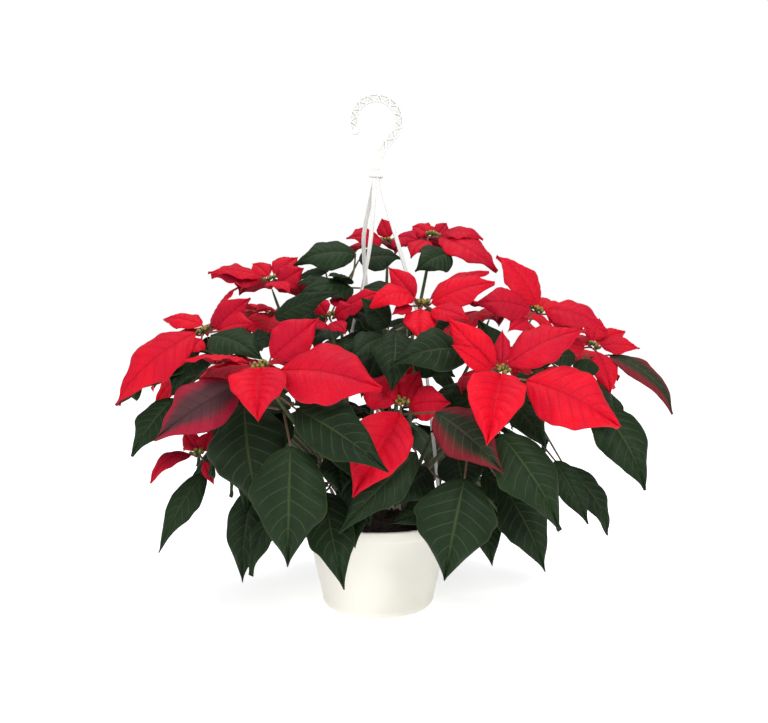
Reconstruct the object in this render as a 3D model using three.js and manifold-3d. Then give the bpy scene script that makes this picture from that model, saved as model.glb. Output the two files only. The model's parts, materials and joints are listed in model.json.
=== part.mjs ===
// A hanging poinsettia: a moulded pot with three straps and a hook, soil, three branching plants,
// bract heads, leafy twigs and single leaves. Millimetres, +Z up, origin in the middle of the
// pot's flat underside, -Y towards the plant's fullest side.
import * as THREE from "three";
import { mergeVertices } from "three/addons/utils/BufferGeometryUtils.js";
import Module from "manifold-3d";

const wasm = await Module();
wasm.setup();

// ---------- Driving dimensions ----------
const GAP = 0.35; // left between pieces that touch
const CLEAR = 0.8; // air kept round every blade while it is placed

const POT = {
  height: 110,
  footRadius: 58, // flat underside
  cornerRadius: 68, // where the rounded foot meets the wall
  cornerHeight: 13,
  bandHeight: 98, // underside of the rim band
  bandRadius: 86,
  bandProud: 2,
  wall: 2.2,
  sides: 40,
};
const DRAIN = { radius: 4, ring: 40, count: 5 };
const EAR = { ring: 93, radius: 4.6, bottom: 100, top: 104, hole: 2 };
const SOIL_DROP = 12; // soil surface below the rim
const SOIL_CROWN = 4;

const HOOK = {
  x: -2,
  z: 583.5,
  bend: 27, // centreline radius
  band: 10,
  thick: 5,
  rail: 1.7,
  web: 1.6,
  pitch: 6.6,
  openAngle: 204,
  closeAngle: -14,
};
const COLLAR = { x: -2.5, width: 16.4, depth: 12, bottom: 518, height: 7.5, socket: 4 };
const STRAP = { width: 5, thick: 2, foot: 7, pin: 1.5, barb: 2.9, steps: 24 };

const TRUNK = { radius: 5.5, bottom: 76, top: 112 };
const BRANCH = { baseRadius: 4, tipRadius: 2.4, sides: 5, steps: 5 };

const HUB = { radius: 4.4, height: 6 };
const PETIOLE = 1.2; // half thickness of a leaf stalk
const BLADE_THICK = 1.3;
// stations along a blade and the share of its width there: an egg shape with a drawn-out tip
const STATIONS = [0, 0.16, 0.38, 0.62, 0.84];
const OUTLINE = [0, 0.66, 1, 0.78, 0.34];

// ---------- Finishes ----------
const finish = (color, roughness) =>
  new THREE.MeshStandardMaterial({ color, roughness, metalness: 0, side: THREE.FrontSide });
const FINISH = {
  pot: () => finish(0xefebe0, 0.45),
  hook: () => finish(0xf2f1ee, 0.4),
  soil: () => finish(0x2b211a, 0.95),
  stem: () => finish(0x5a5236, 0.7),
  bract: () => finish(0xc8142c, 0.6),
  leaf: () => finish(0x223a24, 0.6),
  turning: () => finish(0x5a2a30, 0.6),
};

// ---------- Meshes and solids ----------
const vec = (p) => new THREE.Vector3(...p);

/** Merged, position-only geometry of a list of [a, b, c] faces. */
function geometryOf(faces) {
  const raw = new THREE.BufferGeometry();
  const numbers = faces.flat().flatMap((p) => [p.x, p.y, p.z]);
  raw.setAttribute("position", new THREE.Float32BufferAttribute(numbers, 3));
  return mergeVertices(raw, 1e-4);
}

/** A manifold solid of any closed geometry, turned inside out where its faces point inwards. */
function solidOf(geometry) {
  const bare = new THREE.BufferGeometry();
  const source = geometry.index ? geometry.toNonIndexed() : geometry;
  bare.setAttribute("position", source.getAttribute("position").clone());
  const merged = mergeVertices(bare, 1e-4);
  const triVerts = new Uint32Array(merged.index.array);
  const vertProperties = merged.getAttribute("position").array;
  const made = new wasm.Manifold(new wasm.Mesh({ numProp: 3, vertProperties, triVerts }));
  if (made.volume() > 0) return made;
  for (let i = 0; i < triVerts.length; i += 3) {
    [triVerts[i + 1], triVerts[i + 2]] = [triVerts[i + 2], triVerts[i + 1]];
  }
  return new wasm.Manifold(new wasm.Mesh({ numProp: 3, vertProperties, triVerts }));
}

function geometryFromSolid(solid) {
  const mesh = solid.getMesh();
  const geometry = new THREE.BufferGeometry();
  const points = new Float32Array(mesh.numVert * 3);
  for (let i = 0; i < mesh.numVert; i += 1) {
    points.set(mesh.vertProperties.subarray(i * mesh.numProp, i * mesh.numProp + 3), i * 3);
  }
  geometry.setAttribute("position", new THREE.BufferAttribute(points, 3));
  geometry.setIndex(new THREE.BufferAttribute(new Uint32Array(mesh.triVerts), 1));
  return geometry;
}

const joined = (solids) => solids.reduce((sum, solid) => sum.add(solid));
const cutBy = (solid, cutters) => cutters.reduce((left, cutter) => left.subtract(cutter), solid);

/** An upright cylinder, or a cone where the two radii differ. */
function upright(x, y, bottom, top, radius, sides = 16, topRadius = radius) {
  const made = new THREE.CylinderGeometry(topRadius, radius, top - bottom, sides);
  return made.rotateX(Math.PI / 2).translate(x, y, (top + bottom) / 2);
}

function block(x, y, z, width, depth, height, turn = 0) {
  return new THREE.BoxGeometry(width, depth, height).rotateZ(turn).translate(x, y, z);
}

/** A turned shape from [radius, height] points, standing along Z. */
function turned(profile, sides) {
  const points = profile.map(([r, z]) => new THREE.Vector2(r, z));
  return new THREE.LatheGeometry(points, sides).rotateX(Math.PI / 2);
}

/** Faces of a tube through rings of equal size, closed by a fan at each end. */
function tubeFaces(rings) {
  const faces = [];
  const size = rings[0].length;
  for (let i = 0; i + 1 < rings.length; i += 1) {
    for (let k = 0; k < size; k += 1) {
      const next = (k + 1) % size;
      faces.push([rings[i][k], rings[i][next], rings[i + 1][next]]);
      faces.push([rings[i][k], rings[i + 1][next], rings[i + 1][k]]);
    }
  }
  const last = rings[rings.length - 1];
  for (let k = 1; k + 1 < size; k += 1) {
    faces.push([rings[0][0], rings[0][k + 1], rings[0][k]]);
    faces.push([last[0], last[k], last[k + 1]]);
  }
  return faces;
}

/** Rings round a curve; the face way is near hintAt, the section is [along side, along face] pairs. */
function ringsAlong(curve, steps, hintAt, section) {
  return Array.from({ length: steps + 1 }, (_, i) => {
    const share = i / steps;
    const centre = curve.getPoint(share);
    const along = curve.getTangent(share);
    const side = new THREE.Vector3().crossVectors(along, hintAt(share)).normalize();
    const face = new THREE.Vector3().crossVectors(side, along);
    return section(share).map(([across, out]) =>
      centre.clone().addScaledVector(side, across).addScaledVector(face, out),
    );
  });
}

// ---------- Clearance between shells ----------
/** Faces with their boxes, for the crossing test. */
function shellOf(faces) {
  const box = new THREE.Box3();
  const list = faces.map((face) => {
    const own = new THREE.Box3().setFromPoints(face);
    box.union(own);
    return { face, box: own };
  });
  return { box, list };
}

function shellOfGeometry(geometry) {
  const plain = geometry.index ? geometry.toNonIndexed() : geometry;
  const position = plain.getAttribute("position");
  const point = (i) => new THREE.Vector3().fromBufferAttribute(position, i);
  const faces = [];
  for (let i = 0; i < position.count; i += 3) {
    faces.push([point(i), point(i + 1), point(i + 2)]);
  }
  return shellOf(faces);
}

const ray = new THREE.Ray();
const hit = new THREE.Vector3();

function edgeCrosses(from, to, [a, b, c]) {
  ray.origin.copy(from);
  ray.direction.subVectors(to, from);
  const length = ray.direction.length();
  ray.direction.divideScalar(length);
  return ray.intersectTriangle(a, b, c, false, hit) !== null && hit.distanceTo(from) <= length;
}

function facesCross(one, two) {
  return [0, 1, 2].some((k) => {
    const next = (k + 1) % 3;
    return edgeCrosses(one[k], one[next], two) || edgeCrosses(two[k], two[next], one);
  });
}

function shellsCross(one, two) {
  if (!one.box.intersectsBox(two.box)) return false;
  return one.list.some((p) => {
    if (!p.box.intersectsBox(two.box)) return false;
    return two.list.some((q) => p.box.intersectsBox(q.box) && facesCross(p.face, q.face));
  });
}

// ---------- Pot, soil, hook and straps ----------
const wallRadius = (z) =>
  POT.cornerRadius +
  ((POT.bandRadius - POT.cornerRadius) * (z - POT.cornerHeight)) / (POT.bandHeight - POT.cornerHeight);

/** Points of the rounded foot, from the flat underside to the wall, drawn in by inset. */
function footPoints(inset) {
  return [0, 0.25, 0.5, 0.75, 1].map((share) => {
    const turn = (share * Math.PI) / 2;
    const reach = POT.cornerRadius - POT.footRadius;
    return [
      POT.footRadius + reach * Math.sin(turn) - inset * Math.sin(turn),
      POT.cornerHeight * (1 - Math.cos(turn)) + inset * Math.cos(turn),
    ];
  });
}

const EAR_ANGLES = [-154, -34, 86].map((degrees) => THREE.MathUtils.degToRad(degrees));
const earPlace = (angle) => [EAR.ring * Math.cos(angle), EAR.ring * Math.sin(angle)];

function potGeometry() {
  const band = POT.bandRadius + POT.bandProud;
  const inner = footPoints(POT.wall).reverse();
  const profile = [
    [0, 0],
    ...footPoints(0),
    [POT.bandRadius, POT.bandHeight],
    [band, POT.bandHeight + 1],
    [band + 0.6, POT.height - 1],
    [band, POT.height],
    [POT.bandRadius + 0.6, POT.height],
    [POT.bandRadius - POT.wall, POT.bandHeight],
    ...inner,
    [0, POT.wall],
  ];
  const shell = solidOf(turned(profile, POT.sides));
  const middle = (EAR.bottom + EAR.top) / 2;
  const ears = EAR_ANGLES.flatMap((angle) => {
    const [x, y] = earPlace(angle);
    const root = EAR.ring - 3.5;
    const tab = block(
      root * Math.cos(angle), root * Math.sin(angle), middle,
      6, EAR.radius * 2, EAR.top - EAR.bottom, angle,
    );
    return [solidOf(upright(x, y, EAR.bottom, EAR.top, EAR.radius)), solidOf(tab)];
  });
  const holes = EAR_ANGLES.map((angle) => {
    const [x, y] = earPlace(angle);
    return solidOf(upright(x, y, EAR.bottom - 1, EAR.top + 1, EAR.hole));
  });
  const drains = Array.from({ length: DRAIN.count }, (_, i) => {
    const angle = ((i + 0.5) * 2 * Math.PI) / DRAIN.count;
    const [x, y] = [DRAIN.ring * Math.cos(angle), DRAIN.ring * Math.sin(angle)];
    return solidOf(upright(x, y, -1, POT.wall + 1, DRAIN.radius));
  });
  return geometryFromSolid(cutBy(joined([shell, ...ears]), [...holes, ...drains]));
}

const TRUNKS = { left: [-32, -8], right: [32, -12], back: [2, 32] };
const SOIL_TOP = POT.height - SOIL_DROP;

function soilGeometry() {
  const inset = POT.wall + GAP;
  const profile = [
    [0, inset],
    ...footPoints(inset),
    [wallRadius(SOIL_TOP) - inset - 0.2, SOIL_TOP],
    [40, SOIL_TOP + SOIL_CROWN * 0.7],
    [0, SOIL_TOP + SOIL_CROWN],
  ];
  const pockets = Object.values(TRUNKS).map(([x, y]) =>
    solidOf(upright(x, y, TRUNK.bottom - GAP, POT.height, TRUNK.radius + GAP, 10)),
  );
  return geometryFromSolid(cutBy(solidOf(turned(profile, 32)), pockets));
}

/** Centreline of the hook from its free end, over the bend and down to the collar, as [x, z]. */
function hookLine() {
  const arc = Array.from({ length: 34 }, (_, i) => {
    const share = i / 33;
    const angle = THREE.MathUtils.degToRad(
      HOOK.openAngle + (HOOK.closeAngle - HOOK.openAngle) * share,
    );
    return new THREE.Vector2(
      HOOK.x + HOOK.bend * Math.cos(angle),
      HOOK.z + HOOK.bend * Math.sin(angle),
    );
  });
  const neck = new THREE.Vector2(COLLAR.x, COLLAR.bottom + COLLAR.height - 1);
  const last = arc[arc.length - 1];
  const swing = new THREE.CubicBezierCurve(
    last,
    new THREE.Vector2(last.x - 3, last.y - 14),
    new THREE.Vector2(neck.x, neck.y + 30),
    neck,
  );
  return [...arc, ...swing.getPoints(12).slice(1)];
}

/** The point a share of the way along the hook's line, moved sideways by offset. */
function hookPoint(line, share, offset) {
  const place = share * (line.length - 1);
  const i = Math.min(Math.floor(place), line.length - 2);
  const here = line[i].clone().lerp(line[i + 1], place - i);
  const along = line[i + 1].clone().sub(line[i]).normalize();
  return new THREE.Vector2(here.x - along.y * offset, here.y + along.x * offset);
}

/** A flat outline in the XZ plane, extruded along Y about its middle. */
function plate(points, middle, thick) {
  const shape = new THREE.Shape(points);
  const made = new THREE.ExtrudeGeometry(shape, { depth: thick, bevelEnabled: false });
  return made.rotateX(Math.PI / 2).translate(0, middle + thick / 2, 0);
}

const STRAP_TOPS = [[-4.5, -3], [3, -1], [-4.5, 3.2]];

function hookGeometry() {
  const line = hookLine();
  const half = HOOK.band / 2;
  const shares = line.map((_, i) => i / (line.length - 1));
  const start = hookPoint(line, 0, 0);
  const heading = line[0].clone().sub(line[1]).normalize();
  const nose = [0.25, 0.5, 0.75].map((share) => {
    const turn = share * Math.PI;
    const across = new THREE.Vector2(-heading.y, heading.x);
    return start
      .clone()
      .addScaledVector(heading, half * Math.sin(turn))
      .addScaledVector(across, half * Math.cos(turn));
  });
  const leftEdge = shares.map((share) => hookPoint(line, share, half));
  const rightEdge = shares.map((share) => hookPoint(line, share, -half)).reverse();
  const band = solidOf(plate([...leftEdge, ...rightEdge, ...nose], 0, HOOK.thick));
  const length = line.slice(1).reduce((sum, p, i) => sum + p.distanceTo(line[i]), 0);
  const bays = Math.floor((length - 10) / HOOK.pitch);
  const reach = half - HOOK.rail;
  const depth = (HOOK.thick - HOOK.web) / 2;
  const pockets = [];
  for (let i = 1; i < bays; i += 1) {
    const side = i % 2 ? 1 : -1;
    const at = (step, offset) => hookPoint(line, ((i + step) * HOOK.pitch) / length, offset);
    const corners = [at(-0.72, side * reach), at(0.72, side * reach), at(0, -side * reach * 0.75)];
    for (const face of [-1, 1]) {
      const middle = face * (HOOK.thick / 2 - depth / 2 + 0.5);
      pockets.push(solidOf(plate(corners, middle, depth + 1)));
    }
  }
  const collar = solidOf(
    block(
      COLLAR.x, 0, COLLAR.bottom + COLLAR.height / 2,
      COLLAR.width, COLLAR.depth, COLLAR.height,
    ),
  );
  const sockets = STRAP_TOPS.map(([x, y]) =>
    solidOf(
      block(
        x, y, COLLAR.bottom + COLLAR.socket / 2 - 0.5,
        STRAP.width + 2 * GAP, STRAP.thick + 2 * GAP, COLLAR.socket + 1,
      ),
    ),
  );
  return geometryFromSolid(cutBy(joined([cutBy(band, pockets), collar]), sockets));
}

/** Middle points of each strap between its socket in the collar and its ear on the rim. */
const STRAP_ROUTES = {
  strap_front_left: {
    top: STRAP_TOPS[0],
    ear: EAR_ANGLES[0],
    by: [[-8, -10, 451], [-15, -15, 405], [-31, -22, 336], [-56, -32, 220], [-79, -39, 125]],
  },
  strap_front_right: {
    top: STRAP_TOPS[1],
    ear: EAR_ANGLES[1],
    by: [[16, -8, 465], [32, -15, 410], [50, -26, 340], [64, -38, 220], [74, -49, 125]],
  },
  strap_back: {
    top: STRAP_TOPS[2],
    ear: EAR_ANGLES[2],
    by: [[-17, 12, 452], [-17, 24, 420], [-13, 40, 360], [-2, 64, 240], [6, 88, 125]],
  },
};

function strapGeometry({ top, ear, by }) {
  const [earX, earY] = earPlace(ear);
  const rest = EAR.top + GAP;
  const route = new THREE.CatmullRomCurve3([
    new THREE.Vector3(top[0], top[1], COLLAR.bottom + COLLAR.socket - GAP - 0.3),
    new THREE.Vector3(top[0], top[1], COLLAR.bottom - 4),
    ...by.map(vec),
    new THREE.Vector3(earX, earY, rest + 2),
  ]);
  const outward = new THREE.Vector3(Math.cos(ear), Math.sin(ear), 0);
  const squareOn = new THREE.Vector3(0, Math.sign(outward.y), 0);
  const hintAt = (share) => squareOn.clone().lerp(outward, THREE.MathUtils.smoothstep(share, 0.12, 0.5));
  const [w, t] = [STRAP.width / 2, STRAP.thick / 2];
  const section = () => [[-w, t], [w, t], [w, -t], [-w, -t]];
  const band = solidOf(geometryOf(tubeFaces(ringsAlong(route, STRAP.steps, hintAt, section))));
  const foot = block(earX, earY, rest + 2, STRAP.foot, STRAP.foot, 4, ear);
  const pin = upright(earX, earY, EAR.bottom - 3, rest + 1, STRAP.pin, 10);
  const barb = upright(earX, earY, EAR.bottom - 6, EAR.bottom - GAP, STRAP.pin * 0.6, 10, STRAP.barb);
  return geometryFromSolid(joined([band, solidOf(foot), solidOf(pin), solidOf(barb)]));
}

// ---------- Blades ----------
/**
 * One blade: base and tip in mm, width, and how it is shaped: face is the way its upper side
 * looks, bow how far its middle is raised, fold the lift of its edges in degrees (down where
 * negative), bend how far its middle swings sideways.
 */
const blade = (base, tip, width, shape = {}) => ({
  base: vec(base),
  tip: vec(tip),
  width,
  face: vec(shape.face ?? [0, -0.65, 0.75]).normalize(),
  bow: shape.bow ?? 8,
  fold: THREE.MathUtils.degToRad(shape.fold ?? -10),
  bend: shape.bend ?? 0,
});

/** Four points round a blade's section: top, right edge, underside, left edge. */
function sectionRing(centre, side, along, halfWidth, halfThick, fold) {
  const across = side.clone().addScaledVector(along, -side.dot(along)).normalize();
  const face = new THREE.Vector3().crossVectors(across, along).normalize();
  const reach = halfWidth * Math.cos(fold);
  const lift = halfWidth * Math.sin(fold);
  const at = (p, q) => centre.clone().addScaledVector(across, p).addScaledVector(face, q);
  return [at(0, halfThick), at(reach, lift), at(0, -halfThick), at(-reach, lift)];
}

/** Rings and tip of a blade, swollen by grow for the clearance test. */
function bladeRings(spec, grow = 0) {
  const run = spec.tip.clone().sub(spec.base);
  const side = new THREE.Vector3().crossVectors(run, spec.face).normalize();
  const face = new THREE.Vector3().crossVectors(side, run).normalize();
  const swell = (s) => 4 * s * (1 - s);
  const centre = (s) =>
    spec.base
      .clone()
      .addScaledVector(run, s)
      .addScaledVector(face, spec.bow * swell(s))
      .addScaledVector(side, spec.bend * swell(s));
  const rings = STATIONS.map((s, i) => {
    const along = centre(s + 0.02).sub(centre(s - 0.02)).normalize();
    const half = Math.max((spec.width / 2) * OUTLINE[i], PETIOLE);
    const thick = i ? BLADE_THICK / 2 : PETIOLE;
    return sectionRing(centre(s), side, along, half + grow, thick + grow, i ? spec.fold : 0);
  });
  const tip = spec.tip.clone().addScaledVector(run.clone().normalize(), grow);
  return { rings, tip, side };
}

/** Stalk rings between a start and the blade's base, leaving along heading. */
function stalkRings(start, heading, spec, side, grow = 0) {
  const reach = start.distanceTo(spec.base);
  const curve = new THREE.QuadraticBezierCurve3(
    start,
    start.clone().addScaledVector(heading, reach * 0.4),
    spec.base,
  );
  const stops = reach > 40 ? [0.35, 0.7] : reach > 9 ? [0.5] : [];
  const ring = (t) =>
    sectionRing(
      curve.getPoint(t), side, curve.getTangent(t), PETIOLE + grow, PETIOLE + grow, 0,
    );
  return { first: ring(0), middle: stops.map(ring) };
}

/**
 * Faces of a blade on its stalk. Between rings the top line joins both edges of the next ring
 * and both edges join its underside; the last gap before the tip is turned one way instead.
 */
function bladeFaces(rings, tip) {
  const faces = [];
  const [T, R, B, L] = [0, 1, 2, 3];
  for (let i = 0; i + 1 < rings.length; i += 1) {
    const [p, q] = [rings[i], rings[i + 1]];
    const last = i + 2 === rings.length;
    faces.push([p[T], p[R], q[R]], [p[T], q[R], q[T]]);
    faces.push([p[R], p[B], q[B]], [p[R], q[B], q[R]]);
    if (last) {
      faces.push([p[B], p[L], q[L]], [p[B], q[L], q[B]]);
      faces.push([p[L], p[T], q[T]], [p[L], q[T], q[L]]);
    } else {
      faces.push([p[B], p[L], q[B]], [p[L], q[L], q[B]]);
      faces.push([p[L], p[T], q[L]], [p[T], q[T], q[L]]);
    }
  }
  const end = rings[rings.length - 1];
  for (let k = 0; tip && k < 4; k += 1) {
    faces.push([end[k], end[(k + 1) % 4], tip]);
  }
  return faces;
}

/** Ring corners in the order that twists least on the way to the next ring. */
function untwisted(ring, next) {
  const orders = [0, 1, 2, 3].map((shift) => ring.map((_, k) => ring[(k + shift) % 4]));
  const cost = (order) => order.reduce((sum, p, k) => sum + p.distanceTo(next[k]), 0);
  return orders.reduce((best, order) => (cost(order) < cost(best) ? order : best));
}

// ---------- Placing ----------
const placed = []; // shells of everything that stands
const isClear = (shell, others) => !others.some((other) => shellsCross(shell, other));

/** Ways a blade may lean from where it was drawn, the smallest first. */
const LEANS = [[0, 0, 0]];
for (const step of [6, 12, 18, 26, 36, 48]) {
  const ways = [[0, -1, 0], [0, 1, 0], [0, 0, -1], [0, 0, 1], [0, -0.7, -0.7], [0, 0.7, 0.7],
    [0, -0.7, 0.7], [0, 0.7, -0.7], [-0.7, 0.5, 0], [0.7, 0.5, 0], [-0.7, 0, -0.5], [0.7, 0, -0.5]];
  LEANS.push(...ways.map((way) => way.map((share) => share * step)));
}

function leaned(spec, lean, share = 1) {
  return {
    ...spec,
    base: spec.base.clone().addScaledVector(vec(lean), 0.35),
    tip: spec.tip.clone().add(vec(lean)),
    width: spec.width * share,
  };
}

/** The first lean that is clear of everything placed, tried again narrower if none is. */
function settle(spec, shellFor) {
  for (const share of [1, 0.85, 0.7]) {
    for (const lean of LEANS) {
      const tried = leaned(spec, lean, share);
      const shell = shellFor(tried);
      if (isClear(shell, placed)) return { spec: tried, shell };
    }
  }
  return null;
}

/**
 * A hub with one blade on each of its sides, as one closed body. The blades are sorted round
 * the hub's axis so that their stalks don't cross.
 */
function whorlFaces(hub, axis, specs) {
  const up = vec(axis).normalize();
  const across = new THREE.Vector3().crossVectors(new THREE.Vector3(0.1, 1, 0.05), up).normalize();
  const round = new THREE.Vector3().crossVectors(up, across);
  const centre = vec(hub);
  const angleOf = (spec) => {
    const way = spec.base.clone().sub(centre);
    return Math.atan2(way.dot(round), way.dot(across));
  };
  const sorted = [...specs].sort((a, b) => angleOf(a) - angleOf(b));
  const sides = sorted.length;
  const turn = (2 * Math.PI) / sides;
  const offset = sorted.reduce((sum, spec, i) => sum + angleOf(spec) - i * turn, 0) / sides;
  const corner = (i, z) => {
    const angle = offset + (i - 0.5) * turn;
    return centre
      .clone()
      .addScaledVector(across, HUB.radius * Math.cos(angle))
      .addScaledVector(round, HUB.radius * Math.sin(angle))
      .addScaledVector(up, z);
  };
  const lows = sorted.map((_, i) => corner(i, -HUB.height / 2));
  const highs = sorted.map((_, i) => corner(i, HUB.height / 2));
  const caps = [];
  for (let k = 1; k + 1 < sides; k += 1) {
    caps.push([highs[0], highs[k], highs[k + 1]], [lows[0], lows[k + 1], lows[k]]);
  }
  const arms = sorted.map((spec, i) => {
    const next = (i + 1) % sides;
    const gate = [highs[next], highs[i], lows[i], lows[next]];
    const start = gate.reduce((sum, p) => sum.add(p), new THREE.Vector3()).divideScalar(4);
    const heading = start.clone().sub(centre).normalize();
    const { rings, tip, side } = bladeRings(spec);
    const { middle } = stalkRings(start, heading, spec, side);
    const path = [...middle, ...rings];
    const all = [untwisted(gate, path[0]), ...path];
    return { spec, stalk: bladeFaces(all.slice(0, middle.length + 2)), faces: bladeFaces(all, tip) };
  });
  return { caps, arms };
}

/** Settles a whorl's blades, leaves out any without room, and returns the whole body's faces. */
function settledWhorl({ hub, blades, tiers = [] }) {
  const standing = [...placed];
  let kept = [];
  const wanted = [...blades, ...tiers.flatMap((tier) => fan(hub, tier))];
  for (const drawn of wanted) {
    const shellFor = (spec) => {
      const { rings, tip } = bladeRings(spec, CLEAR);
      return shellOf(bladeFaces(rings, tip));
    };
    const found = settle(drawn, shellFor);
    if (!found) continue;
    kept.push(found.spec);
    placed.push(found.shell);
  }
  let whorl = whorlFaces(hub, tiltOf(hub), kept);
  const blocked = whorl.arms.filter(({ stalk }) => !isClear(shellOf(stalk), standing));
  if (blocked.length) {
    kept = kept.filter((spec) => !blocked.some((arm) => arm.spec === spec));
    whorl = whorlFaces(hub, tiltOf(hub), kept);
  }
  placed.push(shellOf([...whorl.caps, ...whorl.arms.flatMap(({ stalk }) => stalk)]));
  return [...whorl.caps, ...whorl.arms.flatMap(({ faces }) => faces)];
}

// ---------- The plants' branches ----------
const lerp = THREE.MathUtils.lerp;

/** Direction in which a head's stalk arrives: mostly up, leaning outwards. */
const tiltOf = ([x, y]) => [x * 0.0022, y * 0.0022, 1];

/** The line of one branch from its trunk to just under a hub, its middle pushed aside by shift. */
function branchLine(plant, hub, shift) {
  const [x, y] = TRUNKS[plant];
  const way = new THREE.Vector3(hub[0] - x, hub[1] - y, 0).normalize();
  const foot = new THREE.Vector3(x, y, TRUNK.top - 9).addScaledVector(way, 1.5);
  const up = vec(tiltOf(hub)).normalize();
  const end = vec(hub).addScaledVector(up, -(HUB.height / 2 + 2 * GAP));
  const rise = end.z - foot.z;
  return new THREE.CubicBezierCurve3(
    foot,
    foot.clone().addScaledVector(way, 5).add(new THREE.Vector3(shift[0], shift[1], rise * 0.35 + 12)),
    end.clone().addScaledVector(up, -Math.max(rise * 0.4, 25)).add(vec(shift)),
    end,
  );
}

function branchFaces(line, grow = 0) {
  const hintAt = () => new THREE.Vector3(0.31, 0.83, 0.12).normalize();
  const section = (share) => {
    const radius = lerp(BRANCH.baseRadius, BRANCH.tipRadius, share) + grow;
    return Array.from({ length: BRANCH.sides }, (_, k) => {
      const angle = (-2 * Math.PI * k) / BRANCH.sides;
      return [radius * Math.cos(angle), radius * Math.sin(angle)];
    });
  };
  return tubeFaces(ringsAlong(line, BRANCH.steps, hintAt, section));
}

// ---------- Where the heads, twigs and leaves are ----------
/** Blades spread evenly round a hub, each a little longer, lower or more turned than the last. */
function fan(hub, { from, to, count, length, width, drop = 0, rise = 3, stalk = 0.17 }) {
  return Array.from({ length: count }, (_, i) => {
    const degrees = lerp(from, to, count > 1 ? i / (count - 1) : 0.5);
    const angle = THREE.MathUtils.degToRad(degrees + 7 * Math.sin(3.1 * i + hub[2]));
    const vary = 1 + 0.15 * Math.sin(2.4 * i + hub[0] * 0.05);
    const [c, s] = [Math.cos(angle), Math.sin(angle)];
    const foot = stalk * length * vary;
    const reach = length * vary;
    const fall = drop + 0.16 * length * Math.sin(1.7 * i + hub[1] * 0.04);
    const roll = 0.35 * Math.sin(2.9 * i + hub[0] * 0.03);
    const slope = 0.25 + (0.6 * fall) / length;
    return blade(
      [hub[0] + c * foot, hub[1] + s * foot, hub[2] + rise],
      [hub[0] + c * reach, hub[1] + s * reach, hub[2] - fall],
      width * vary,
      { face: [c * slope - s * roll, s * slope + c * roll, 1], bow: 0.12 * length, fold: -11 },
    );
  });
}

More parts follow.
